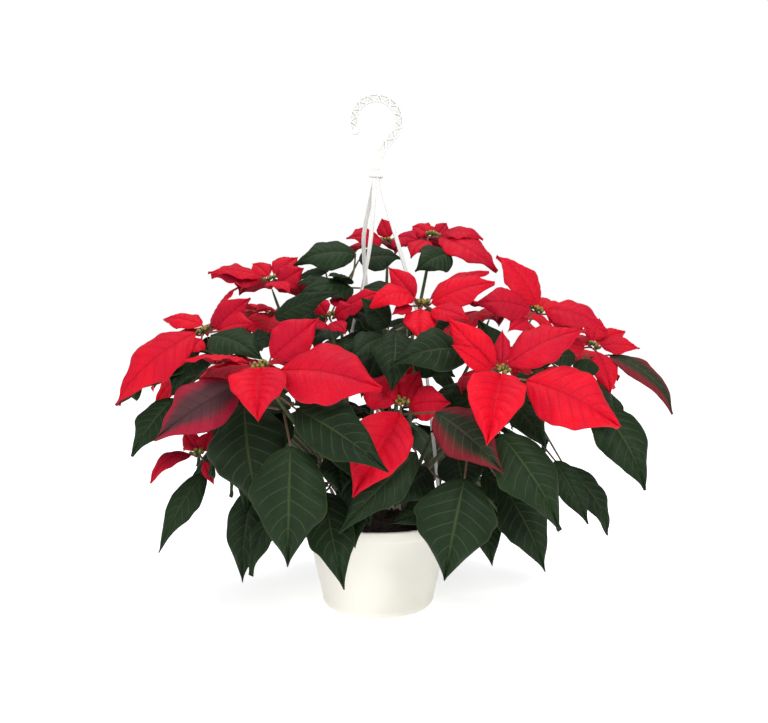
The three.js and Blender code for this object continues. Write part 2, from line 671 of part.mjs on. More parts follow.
const HEADS = [
  {
    name: "bract_head_front_left", plant: "left", hub: [-121, -170, 307],
    blades: [
      blade([-100, -185, 307], [5, -215, 291], 76, { face: [0.05, -0.8, 0.6], bow: 12 }),
      blade([-120, -183, 309], [-118, -238, 262], 60, { face: [0, -0.6, 0.8], fold: 14, bow: 6 }),
      blade([-112, -165, 318], [-62, -150, 359], 44, { face: [0.3, -0.8, 0.3], bow: 6 }),
      blade([-133, -176, 314], [-196, -200, 318], 46, { face: [0, 0.15, 1], bow: 5 }),
    ],
    tiers: [{ from: 60, to: 150, count: 2, length: 78, width: 48, drop: 14 }],
  },
  {
    name: "bract_head_front_right", plant: "right", hub: [130, -170, 302],
    blades: [
      blade([127, -187, 303], [108, -248, 239], 64, { face: [0, -0.75, 0.65], fold: 24, bow: 8 }),
      blade([155, -182, 296], [247, -206, 250], 74, { face: [0.12, -0.85, 0.5], bow: 12 }),
      blade([137, -165, 311], [222, -150, 347], 50, { face: [-0.1, -0.75, 0.65], bow: 9 }),
      blade([123, -172, 309], [73, -170, 360], 36, { face: [-0.3, -0.85, 0.3], bow: 6 }),
      blade([131, -163, 311], [133, -148, 346], 18, { face: [0, -1, 0.2], bow: 2 }),
      blade([118, -178, 306], [77, -190, 333], 22, { face: [0.2, -0.9, 0.4], bow: 3 }),
    ],
    tiers: [{ from: 70, to: 120, count: 2, length: 76, width: 46, drop: 16 }],
  },
  {
    name: "bract_head_middle_low", plant: "right", hub: [26, -140, 264],
    blades: [
      blade([24, -152, 257], [-26, -192, 175], 66, { face: [0, -0.85, 0.5], fold: 20, bow: 8 }),
      blade([20, -140, 267], [-20, -122, 287], 44, { face: [0, -0.8, 0.5], bow: 5 }),
      blade([34, -141, 264], [78, -150, 268], 42, { face: [0, -0.85, 0.5], bow: 5 }),
      blade([28, -130, 268], [46, -110, 297], 34, { face: [0, -0.9, 0.3], bow: 4 }),
    ],
  },
  {
    name: "bract_head_centre", plant: "right", hub: [50, -80, 369],
    blades: [
      blade([60, -86, 372], [130, -95, 395], 44, { face: [-0.1, -0.75, 0.65], bow: 10 }),
      blade([41, -84, 378], [-8, -100, 367], 42, { face: [-0.1, -0.6, 0.8], bow: 14 }),
      blade([48, -96, 366], [46, -130, 333], 38, { face: [0, -0.75, 0.65], bow: 5 }),
      blade([60, -96, 366], [98, -124, 356], 32, { face: [0.1, -0.75, 0.6], bow: 5 }),
      blade([42, -70, 377], [12, -58, 412], 28, { face: [-0.2, -0.9, 0.3], bow: 4 }),
      blade([38, -95, 369], [16, -110, 361], 17, { face: [0, -0.8, 0.5], bow: 2 }),
      blade([60, -66, 376], [128, -48, 408], 34, { face: [-0.1, -0.5, 0.85], bow: 7 }),
    ],
  },
  {
    name: "bract_head_right", plant: "right", hub: [184, -30, 359],
    blades: [
      blade([176, -46, 364], [109, -62, 371], 46, { face: [0, -0.8, 0.6], bow: 8 }),
      blade([187, -30, 366], [141, -8, 426], 50, { face: [0.45, -0.75, 0.4], bow: 10 }),
      blade([194, -35, 363], [264, -60, 340], 46, { face: [0.15, -0.7, 0.7], bow: 11 }),
      blade([172, -50, 357], [147, -80, 352], 22, { face: [0, -0.8, 0.5], bow: 3 }),
      blade([196, -40, 357], [243, -28, 337], 30, { face: [0, -0.8, 0.5], bow: 4 }),
    ],
    tiers: [{ from: 60, to: 110, count: 2, length: 74, width: 44, drop: 6 }],
  },
  {
    name: "bract_head_far_right", plant: "right", hub: [254, -20, 316],
    blades: [
      blade([263, -26, 319], [308, -30, 317], 28, { face: [0, -0.7, 0.7], bow: 5 }),
      blade([257, -36, 312], [268, -62, 266], 32, { face: [0.1, -0.85, 0.4], bow: 6 }),
      blade([254, -14, 324], [268, 10, 350], 28, { face: [-0.2, -0.9, 0.2], bow: 4 }),
      blade([260, -14, 321], [299, 10, 333], 32, { face: [0, -0.6, 0.7], bow: 4 }),
      blade([244, -25, 317], [212, -40, 325], 28, { face: [0, -0.8, 0.5], bow: 4 }),
    ],
    tiers: [{ from: 80, to: 120, count: 1, length: 66, width: 38, drop: 12 }],
  },
  {
    name: "bract_head_far_left", plant: "left", hub: [-202, -40, 335],
    blades: [
      blade([-210, -56, 337], [-298, -85, 258], 64, { face: [-0.3, -0.78, 0.55], bow: 15 }),
      blade([-205, -38, 344], [-256, -10, 350], 34, { face: [0, -0.5, 0.85], bow: 5 }),
      blade([-197, -30, 342], [-167, 0, 390], 34, { face: [-0.85, -0.35, 0.3], bow: 5 }),
      blade([-189, -50, 341], [-146, -60, 377], 36, { face: [0.1, -0.85, 0.4], bow: 5 }),
      blade([-182, -56, 339], [-138, -75, 349], 38, { face: [0.1, -0.8, 0.5], bow: 6 }),
      blade([-203, -56, 331], [-218, -76, 319], 26, { face: [0, -0.7, 0.6], bow: 3 }),
    ],
    tiers: [{ from: 70, to: 130, count: 2, length: 78, width: 44, drop: 18 }],
  },
  {
    name: "bract_head_left", plant: "left", hub: [-133, 30, 393],
    blades: [
      blade([-143, 22, 397], [-200, 0, 402], 50, { face: [0, -0.55, 0.85], bow: 8 }),
      blade([-135, 38, 400], [-158, 62, 416], 26, { face: [-0.2, -0.6, 0.7], bow: 3 }),
      blade([-130, 16, 391], [-103, -30, 383], 30, { face: [0.2, -0.5, 0.85], bow: 6 }),
      blade([-122, 26, 391], [-91, 28, 410], 32, { face: [0.2, -0.9, 0.4], bow: 4 }),
      blade([-127, 38, 399], [-101, 62, 423], 34, { face: [0.3, -0.6, 0.7], bow: 5 }),
      blade([-143, 12, 391], [-200, -20, 381], 32, { face: [-0.1, -0.5, 0.85], bow: 5 }),
    ],
    tiers: [{ from: 60, to: 120, count: 2, length: 80, width: 46, drop: 14 }],
  },
  {
    name: "bract_head_top_back", plant: "back", hub: [12, 100, 441],
    blades: [
      blade([4, 92, 446], [-40, 62, 447], 38, { face: [0, -0.75, 0.65], bow: 6 }),
      blade([14, 104, 449], [4, 112, 474], 24, { face: [-0.2, -0.9, 0.3], bow: 3 }),
      blade([20, 90, 446], [49, 60, 444], 38, { face: [0, -0.7, 0.7], bow: 5 }),
    ],
    tiers: [{ from: 20, to: 160, count: 3, length: 84, width: 48, drop: 18 }],
  },
  {
    name: "bract_head_top_right", plant: "back", hub: [68, 65, 448],
    blades: [
      blade([75, 52, 448], [144, 10, 407], 50, { face: [0.15, -0.6, 0.8], bow: 9 }),
      blade([63, 74, 452], [43, 92, 463], 28, { face: [-0.2, -0.7, 0.6], bow: 3 }),
      blade([78, 60, 452], [130, 48, 446], 36, { face: [0, -0.4, 0.9], bow: 8 }),
      blade([61, 52, 444], [39, 20, 424], 32, { face: [-0.1, -0.5, 0.85], bow: 5 }),
      blade([75, 78, 452], [87, 92, 467], 20, { face: [0.2, -0.9, 0.3], bow: 2 }),
    ],
    tiers: [{ from: 20, to: 90, count: 2, length: 82, width: 46, drop: 10 }],
  },
  {
    name: "bract_head_low_left", plant: "left", hub: [-207, -60, 195],
    blades: [
      blade([-215, -66, 197], [-258, -90, 168], 24, { face: [-0.1, -0.6, 0.8], bow: 16 }),
      blade([-211, -54, 200], [-229, -38, 219], 22, { face: [-0.2, -0.8, 0.4], bow: 3 }),
      blade([-202, -58, 199], [-197, -42, 220], 24, { face: [0.2, -0.9, 0.2], bow: 3 }),
      blade([-200, -68, 189], [-188, -78, 164], 14, { face: [0, -0.9, 0.4], bow: 2 }),
    ],
    tiers: [{ from: 90, to: 110, count: 1, length: 58, width: 34, drop: 14 }],
  },
  {
    name: "bract_head_inner_left", plant: "left", hub: [-56, -40, 352],
    blades: [
      blade([-60, -46, 358], [-73, -40, 377], 22, { face: [-0.2, -0.9, 0.3], bow: 2 }),
      blade([-50, -50, 355], [-28, -60, 368], 26, { face: [0.1, -0.8, 0.5], bow: 3 }),
      blade([-53, -56, 349], [-36, -82, 340], 24, { face: [0.1, -0.7, 0.6], bow: 3 }),
      blade([-61, -50, 348], [-78, -76, 342], 24, { face: [-0.1, -0.7, 0.7], bow: 3 }),
      blade([-46, -44, 360], [-4, -78, 383], 34, { face: [0, -0.7, 0.7], bow: 5 }),
      blade([-48, -30, 366], [-22, 10, 372], 34, { face: [0.1, -0.4, 0.9], bow: 5 }),
    ],
  },
];

/** Heads of the far side, each a full star. */
const FAR_HEADS = [
  ["bract_head_back_left", "left", [-140, 145, 345], 5],
  ["bract_head_back_right", "right", [150, 140, 350], 6],
  ["bract_head_back_low", "back", [5, 215, 300], 6],
  ["bract_head_side_left", "left", [-205, 80, 290], 5],
  ["bract_head_side_right", "right", [225, 95, 300], 5],
];
for (const [name, plant, hub, count] of FAR_HEADS) {
  const start = THREE.MathUtils.radToDeg(Math.atan2(hub[1], hub[0])) - 150;
  const low = { from: start, to: start + 360 - 360 / count, count, length: 92, width: 56, drop: 34 };
  const upright = { length: 56, width: 32, drop: -12, rise: 8 };
  const high = { from: start + 34, to: start + 270, count: 3, ...upright };
  HEADS.push({ name, plant, hub, blades: [], tiers: [low, high] });
}

/** Green twigs: a small hub with a few leaves, some drawn and some spread by rule. */
const TWIGS = [
  {
    name: "leafy_twig_far_left", plant: "left", hub: [-190, -12, 305],
    blades: [
      blade([-208, -38, 318], [-303, -62, 254], 58, { face: [-0.3, -0.6, 0.75], bow: 14 }),
      blade([-180, -8, 335], [-228, -20, 360], 34, { face: [0, -0.6, 0.8], bow: 6 }),
      blade([-165, -20, 318], [-110, -10, 330], 44, { face: [0.2, -0.5, 0.9], bow: 6 }),
    ],
    tiers: [{ from: 80, to: 235, count: 4, length: 92, width: 54, drop: 44, stalk: 0.3 }],
  },
  {
    name: "leafy_twig_upper_left", plant: "left", hub: [-50, 25, 385],
    blades: [
      blade([-58, 8, 388], [-96, -14, 394], 34, { face: [0, -0.6, 0.8], bow: 5 }),
      blade([-38, 10, 392], [-52, -30, 402], 34, { face: [0, -0.5, 0.85], bow: 5 }),
      blade([-28, 40, 428], [-106, 38, 416], 50, { face: [0, -0.75, 0.65], bow: 9 }),
      blade([-24, 44, 420], [30, 52, 424], 44, { face: [0, -0.75, 0.65], bow: 5 }),
      blade([-64, 30, 402], [-100, 60, 392], 44, { face: [-0.2, -0.3, 0.9], bow: 5 }),
      blade([-30, 0, 380], [-92, -34, 366], 48, { face: [0, -0.6, 0.8], bow: 6 }),
      blade([-20, 20, 386], [36, 0, 372], 46, { face: [0.1, -0.6, 0.8], bow: 6 }),
      blade([-34, 44, 376], [-16, 66, 322], 54, { face: [0, -0.9, 0.4], bow: 6 }),
      blade([-70, 8, 368], [-112, -8, 322], 52, { face: [-0.1, -0.9, 0.4], bow: 6 }),
      blade([-8, 34, 396], [52, 42, 392], 48, { face: [0.1, -0.85, 0.5], bow: 6 }),
    ],
  },
  {
    name: "leafy_twig_middle", plant: "right", hub: [20, -70, 325],
    blades: [
      blade([12, -76, 345], [-20, -78, 378], 34, { face: [0, -0.85, 0.5], bow: 5 }),
      blade([8, -96, 335], [-30, -128, 314], 40, { face: [0, -0.8, 0.5], bow: 5 }),
      blade([60, -76, 335], [120, -88, 330], 48, { face: [0, -0.85, 0.5], bow: 6 }),
      blade([20, -50, 330], [-50, -20, 325], 50, { face: [0, -0.5, 0.85], bow: 6 }),
      blade([4, -62, 316], [-64, -88, 306], 50, { face: [-0.1, -0.75, 0.6], bow: 7 }),
      blade([34, -48, 340], [96, -34, 356], 46, { face: [0, -0.7, 0.7], bow: 6 }),
      blade([44, -84, 312], [86, -112, 292], 46, { face: [0.1, -0.8, 0.5], bow: 6 }),
      blade([-2, -88, 310], [-18, -112, 258], 46, { face: [0, -0.9, 0.4], bow: 6 }),
    ],
    tiers: [{ from: 60, to: 130, count: 2, length: 84, width: 54, drop: -10, stalk: 0.3 }],
  },
  {
    name: "leafy_twig_right", plant: "right", hub: [215, -35, 292],
    blades: [
      blade([226, -62, 312], [183, -84, 306], 30, { face: [0, -0.85, 0.5], bow: 4 }),
      blade([244, -52, 306], [232, -80, 280], 30, { face: [0, -0.85, 0.5], bow: 4 }),
      blade([205, -20, 300], [150, -10, 310], 46, { face: [0, -0.6, 0.8], bow: 6 }),
      blade([215, -12, 288], [232, 50, 262], 52, { face: [0.2, 0.4, 0.9], bow: 8 }),
      blade([190, -50, 284], [150, -76, 258], 48, { face: [-0.1, -0.85, 0.5], bow: 6 }),
      blade([230, -20, 290], [290, 14, 262], 50, { face: [0.4, -0.2, 0.9], bow: 8 }),
    ],
    tiers: [{ from: -50, to: 120, count: 3, length: 92, width: 54, drop: 56, stalk: 0.3 }],
  },
  {
    name: "leafy_twig_low_front", plant: "left", hub: [-55, -80, 165],
    blades: [
      blade([-60, -100, 160], [-36, -166, 68], 58, { face: [0, -1, 0.15], bow: 12 }),
      blade([-30, -92, 150], [-25, -132, 105], 30, { face: [0, -0.95, 0.25], bow: 5 }),
      blade([-80, -85, 168], [-128, -105, 100], 52, { face: [-0.2, -0.9, 0.25], bow: 8 }),
      blade([-32, -88, 184], [-8, -124, 128], 50, { face: [0, -0.9, 0.4], bow: 6 }),
      blade([-70, -62, 192], [-124, -50, 142], 54, { face: [-0.5, -0.5, 0.6], bow: 8 }),
      blade([-44, -100, 206], [-40, -146, 168], 48, { face: [0, -0.9, 0.4], bow: 6 }),
    ],
    tiers: [{ from: 150, to: 225, count: 3, length: 118, width: 58, drop: 70, stalk: 0.3 }],
  },
  {
    name: "leafy_twig_low_right", plant: "right", hub: [85, -75, 165],
    blades: [
      blade([70, -80, 140], [14, -100, 124], 32, { face: [0, -0.9, 0.5], bow: 4 }),
      blade([118, -92, 148], [128, -118, 80], 36, { face: [0, -1, 0.2], bow: 6 }),
      blade([118, -90, 180], [175, -105, 150], 52, { face: [0.1, -0.9, 0.4], bow: 8 }),
      blade([56, -90, 186], [18, -126, 150], 50, { face: [-0.1, -0.9, 0.4], bow: 6 }),
      blade([88, -100, 206], [96, -140, 160], 50, { face: [0, -0.9, 0.4], bow: 6 }),
      blade([112, -56, 190], [166, -30, 140], 56, { face: [0.5, -0.4, 0.6], bow: 8 }),
    ],
    tiers: [{ from: -30, to: 50, count: 3, length: 122, width: 60, drop: 72, stalk: 0.3 }],
  },
  {
    name: "leafy_twig_inner_right", plant: "right", hub: [130, -85, 250],
    blades: [
      blade([150, -105, 262], [184, -135, 215], 38, { face: [0.1, -0.95, 0.3], bow: 6 }),
      blade([110, -95, 255], [60, -100, 225], 58, { face: [0, -0.9, 0.4], bow: 8 }),
      blade([145, -75, 262], [205, -60, 240], 56, { face: [0, -0.7, 0.7], bow: 8 }),
      blade([116, -104, 282], [84, -142, 246], 44, { face: [-0.2, -0.85, 0.5], bow: 6 }),
      blade([120, -66, 270], [66, -40, 262], 54, { face: [-0.2, -0.4, 0.85], bow: 8 }),
      blade([140, -60, 278], [180, -16, 262], 54, { face: [0.3, 0.1, 0.9], bow: 8 }),
      blade([138, -52, 298], [116, -58, 352], 50, { face: [0, -0.9, 0.4], bow: 6 }),
      blade([158, -58, 292], [178, -50, 342], 46, { face: [0.1, -0.9, 0.4], bow: 6 }),
    ],
    tiers: [{ from: 30, to: 110, count: 2, length: 100, width: 58, drop: 30, stalk: 0.3 }],
  },
];

/** Twigs that fill the far side and the inside, in two rings. */
const FAR_TWIGS = [
  ["leafy_twig_back_left", "back", [-85, 105, 200], 120, 5, 4],
  ["leafy_twig_back", "back", [14, 140, 200], 90, 5, 4],
  ["leafy_twig_back_right", "back", [105, 100, 205], 60, 5, 4],
  ["leafy_twig_side_left", "left", [-130, 30, 235], 175, 5, 4],
  ["leafy_twig_inner_left", "left", [-95, -55, 255], 215, 4, 4],
  ["leafy_twig_inner_back", "back", [-8, 86, 318], 80, 5, 4],
];
for (const [name, plant, hub, heading, low, high] of FAR_TWIGS) {
  const lower = { from: heading - 95, to: heading + 95, count: low, length: 116, width: 66, drop: 88 };
  const upper = { from: heading - 70, to: heading + 82, count: high, length: 92, width: 56, drop: 6 };
  const tiers = [{ ...lower, stalk: 0.3 }, { ...upper, stalk: 0.32, rise: 14 }];
  TWIGS.push({ name, plant, hub, blades: [], tiers });
}

/** Single leaves on their own stalks. */
const LEAVES = [
  ["leaf_front_left_wide",
    blade([-90, -190, 228], [-92, -214, 106], 84, { face: [0, -1, 0.15], bow: 12 })],
  ["leaf_front_middle",
    blade([-84, -186, 266], [12, -224, 208], 62, { face: [-0.1, -0.85, 0.5], bow: 12 })],
  ["leaf_front_right_wide",
    blade([92, -172, 190], [70, -195, 86], 86, { face: [0, -1, 0.15], bow: 12 })],
  ["leaf_front_blushed",
    blade([61, -180, 262], [130, -214, 204], 62, { face: [-0.1, -0.85, 0.5], bow: 10 }),
    "turning"],
  ["leaf_right_ribbed",
    blade([129, -176, 238], [190, -205, 144], 68, { face: [0.1, -0.9, 0.4], bow: 12 })],
  ["leaf_middle_low",
    blade([42, -150, 214], [-42, -190, 137], 50, { face: [-0.2, -0.85, 0.45], bow: 9 })],
  ["leaf_centre_down", blade([20, -128, 344], [15, -164, 282], 50, { face: [0, -0.9, 0.45], bow: 7 })],
  ["leaf_centre_across",
    blade([98, -138, 324], [14, -184, 315], 56, { face: [0, -0.85, 0.5], bow: 10 })],
  ["leaf_left_shaded",
    blade([-148, -112, 262], [-126, -150, 146], 92, { face: [-0.1, -0.95, 0.25], bow: 12 })],
  ["leaf_left_low",
    blade([-140, -100, 165], [-149, -140, 68], 46, { face: [-0.1, -0.95, 0.2], bow: 8 })],
  ["leaf_left_edge",
    blade([-234, -66, 262], [-277, -100, 201], 46, { face: [-0.2, -0.85, 0.45], bow: 8 })],
  ["leaf_left_drooping",
    blade([-200, -62, 176], [-249, -90, 91], 38, { face: [-0.2, -0.85, 0.4], bow: 12 })],
  ["leaf_left_grey", blade([-187, -80, 336], [-121, -130, 314], 50, { face: [0, -0.7, 0.7], bow: 8 })],
  ["leaf_pale_slender",
    blade([-118, -60, 354], [-44, -80, 385], 32, { face: [0.1, -0.85, 0.5], bow: 5 })],
  ["leaf_top_pale", blade([88, 28, 428], [44, 2, 408], 46, { face: [0, -0.85, 0.5], bow: 6 })],
  ["leaf_right_low", blade([140, -130, 170], [181, -160, 86], 54, { face: [0.1, -0.95, 0.25], bow: 9 })],
  ["leaf_right_narrow",
    blade([204, -68, 190], [239, -95, 122], 34, { face: [0.1, -0.95, 0.3], bow: 6 })],
  ["leaf_right_curved",
    blade([218, -48, 180], [270, -70, 102], 40, { face: [0.3, -0.8, 0.5], bow: 16 })],
  ["leaf_right_edge", blade([256, -50, 252], [304, -90, 160], 62, { face: [0.2, -0.9, 0.4], bow: 12 })],
  ["leaf_turning_left",
    blade([-149, -160, 288], [-232, -190, 234], 66, { face: [-0.15, -0.9, 0.4], bow: 12 }),
    "turning"],
  ["leaf_turning_right",
    blade([272, -32, 309], [344, -60, 244], 38, { face: [0.35, -0.7, 0.65], bow: 16 }),
    "turning"],
];

// ---------- Assembly ----------
const group = new THREE.Group();

function addPiece(name, geometry, material) {
  const mesh = new THREE.Mesh(geometry, material);
  mesh.name = name;
  geometry.computeVertexNormals();
  group.add(mesh);
}

const moulded = [
  ["pot", potGeometry(), FINISH.pot()],
  ["soil", soilGeometry(), FINISH.soil()],
  ["hook", hookGeometry(), FINISH.hook()],
  ...Object.entries(STRAP_ROUTES).map(([name, route]) => [name, strapGeometry(route), FINISH.hook()]),
];
for (const [name, geometry, material] of moulded) {
  addPiece(name, geometry, material);
  placed.push(shellOfGeometry(geometry));
}

/** Sideways shifts for a branch that would run into a strap or another plant. */
const SHIFTS = [[0, 0, 0]];
for (const step of [8, 16, 26, 38]) {
  for (let k = 0; k < 8; k += 1) {
    SHIFTS.push([step * Math.cos((k * Math.PI) / 4), step * Math.sin((k * Math.PI) / 4), 0]);
  }
}

const branches = [];
for (const { plant, hub } of [...HEADS, ...TWIGS]) {
  const others = branches.filter((branch) => branch.plant !== plant).map(({ shell }) => shell);
  const tries = SHIFTS.map((shift) => branchLine(plant, hub, shift));
  const clear = (line) => isClear(shellOf(branchFaces(line, CLEAR)), [...placed, ...others]);
  const line = tries.find(clear) ?? tries[0];
  branches.push({ plant, line, shell: shellOf(branchFaces(line, CLEAR / 2)) });
}
placed.push(...branches.map(({ shell }) => shell));
for (const [plant, [x, y]] of Object.entries(TRUNKS)) {
  const trunk = solidOf(upright(x, y, TRUNK.bottom, TRUNK.top, TRUNK.radius, 8, TRUNK.radius * 0.9));
  const own = branches.filter((branch) => branch.plant === plant);
  const limbs = own.map(({ line }) => solidOf(geometryOf(branchFaces(line))));
  addPiece(`stems_${plant}`, geometryFromSolid(joined([trunk, ...limbs])), FINISH.stem());
}

const addWhorl = (whorl, material) => addPiece(whorl.name, geometryOf(settledWhorl(whorl)), material);

/** Where a leaf's stalk may leave a branch, the nearest first. */
function stalkStarts(spec) {
  const spots = [];
  for (const { line } of branches) {
    for (let share = 0.3; share < 0.97; share += 0.06) {
      const point = line.getPoint(share);
      const reach = point.distanceTo(spec.base);
      const radius = lerp(BRANCH.baseRadius, BRANCH.tipRadius, share);
      if (reach > 22) spots.push({ point, reach, radius });
    }
  }
  return spots.sort((a, b) => a.reach - b.reach).slice(0, 14);
}

/** Faces of a stalked leaf, and the shell it keeps clear, for one start on a branch. */
function stalkedLeaf(spec, { point, radius }, grow) {
  const heading = spec.base.clone().sub(point).normalize();
  const start = point.clone().addScaledVector(heading, radius + PETIOLE + GAP + 0.4);
  const { rings, tip, side } = bladeRings(spec, grow);
  const { first, middle } = stalkRings(start, heading, spec, side, grow);
  return { first, rings: [...middle, ...rings], tip };
}

function addLeaf(name, drawn, material) {
  for (const share of [1, 0.85, 0.7]) {
    for (const lean of LEANS) {
      const spec = leaned(drawn, lean, share);
      for (const start of stalkStarts(spec)) {
        const wide = stalkedLeaf(spec, start, CLEAR);
        const shell = shellOf(bladeFaces(wide.rings, wide.tip));
        const { first, rings, tip } = stalkedLeaf(spec, start, 0);
        const foot = shellOf(bladeFaces([first, rings[0]]));
        if (!isClear(shell, placed) || !isClear(foot, placed)) continue;
        placed.push(shell, foot);
        const [T, R, B, L] = first;
        const faces = [...bladeFaces([first, ...rings], tip), [T, L, R], [B, R, L]];
        addPiece(name, geometryOf(faces), material);
        return;
      }
    }
  }
  console.warn("no room for", name);
}

const drawnHeads = HEADS.filter(({ blades }) => blades.length);
const ruledHeads = HEADS.filter(({ blades }) => !blades.length);
for (const head of drawnHeads) addWhorl(head, FINISH.bract());
for (const [name, spec, tone] of LEAVES) addLeaf(name, spec, FINISH[tone ?? "leaf"]());
for (const head of ruledHeads) addWhorl(head, FINISH.bract());
for (const twig of TWIGS) addWhorl(twig, FINISH.leaf());

export default group;
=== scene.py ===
"""The hanging poinsettia: leaves, bracts, pot, soil and hanger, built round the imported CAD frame."""

import json
import logging
import math
import random
from dataclasses import dataclass, field
from enum import Enum
from typing import Iterable, Optional, Sequence, Union

import bmesh
import bpy
import numpy as np
from mathutils import Matrix, Vector


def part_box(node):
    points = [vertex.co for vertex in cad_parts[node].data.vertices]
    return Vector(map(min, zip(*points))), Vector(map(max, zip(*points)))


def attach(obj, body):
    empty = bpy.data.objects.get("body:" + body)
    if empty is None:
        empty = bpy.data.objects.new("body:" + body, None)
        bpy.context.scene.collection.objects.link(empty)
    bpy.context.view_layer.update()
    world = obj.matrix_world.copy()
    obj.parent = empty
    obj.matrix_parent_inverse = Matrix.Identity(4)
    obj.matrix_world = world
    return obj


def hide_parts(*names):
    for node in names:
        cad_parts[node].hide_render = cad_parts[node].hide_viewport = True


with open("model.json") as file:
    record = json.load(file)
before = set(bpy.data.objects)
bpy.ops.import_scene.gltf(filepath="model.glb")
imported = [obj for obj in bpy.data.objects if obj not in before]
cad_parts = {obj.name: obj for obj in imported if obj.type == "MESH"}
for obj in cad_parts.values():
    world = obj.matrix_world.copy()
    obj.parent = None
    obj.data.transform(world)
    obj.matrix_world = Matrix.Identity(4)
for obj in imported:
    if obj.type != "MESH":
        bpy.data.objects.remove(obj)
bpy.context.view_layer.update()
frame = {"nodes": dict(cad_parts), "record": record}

LOG = logging.getLogger("poinsettia")
MM = 0.001
MERGE = 0.02 * MM  # vertices of a CAD node closer than this are one
VEINS = 9.0  # side veins on each half of a blade
VEIN_LEAN = 0.20  # how far a side vein runs towards the tip on its way to the margin


# ---------------------------------------------------------------- shader graphs
class Value:
    """A number on a node socket, with arithmetic that adds Math nodes."""

    def __init__(self, graph: "Graph", socket: bpy.types.NodeSocket) -> None:
        """Keeps the graph and the socket."""
        self.graph = graph
        self.socket = socket

    def _math(self, operation: str, *others: "Number", clamp: bool = False) -> "Value":
        """Adds a Math node on this value and the others."""
        settings = {"operation": operation, "use_clamp": clamp}
        return self.graph.node("ShaderNodeMath", settings, dict(enumerate((self, *others))))

    def __add__(self, other: "Number") -> "Value":
        """This value plus another."""
        return self._math("ADD", other)

    def __radd__(self, other: "Number") -> "Value":
        """Another plus this value."""
        return self._math("ADD", other)

    def __sub__(self, other: "Number") -> "Value":
        """This value minus another."""
        return self._math("SUBTRACT", other)

    def __rsub__(self, other: "Number") -> "Value":
        """Another minus this value."""
        return self.graph.node("ShaderNodeMath", {"operation": "SUBTRACT"}, {0: other, 1: self})

    def __mul__(self, other: "Number") -> "Value":
        """This value times another."""
        return self._math("MULTIPLY", other)

    def __rmul__(self, other: "Number") -> "Value":
        """Another times this value."""
        return self._math("MULTIPLY", other)

    def __truediv__(self, other: "Number") -> "Value":
        """This value divided by another."""
        return self._math("DIVIDE", other)

    def __pow__(self, other: "Number") -> "Value":
        """This value to a power."""
        return self._math("POWER", other)

    def call(self, operation: str, *others: "Number") -> "Value":
        """Any other Math operation, such as ABSOLUTE or PINGPONG."""
        return self._math(operation, *others)

    def step(self, low: float, high: float) -> "Value":
        """A smooth rise from 0 at low to 1 at high, or a fall where low is the larger.

        Args:
            low: Where the result is 0.
            high: Where the result is 1.

        Returns:
            The clamped, smoothed share.
        """
        settings = {"interpolation_type": "SMOOTHSTEP", "clamp": True}
        falling = low > high
        ends = {1: min(low, high), 2: max(low, high), 3: 1.0 if falling else 0.0}
        ends[4] = 0.0 if falling else 1.0
        return self.graph.node("ShaderNodeMapRange", settings, {0: self, **ends})


Number = Union[Value, float, int]
Colour = tuple[float, float, float]


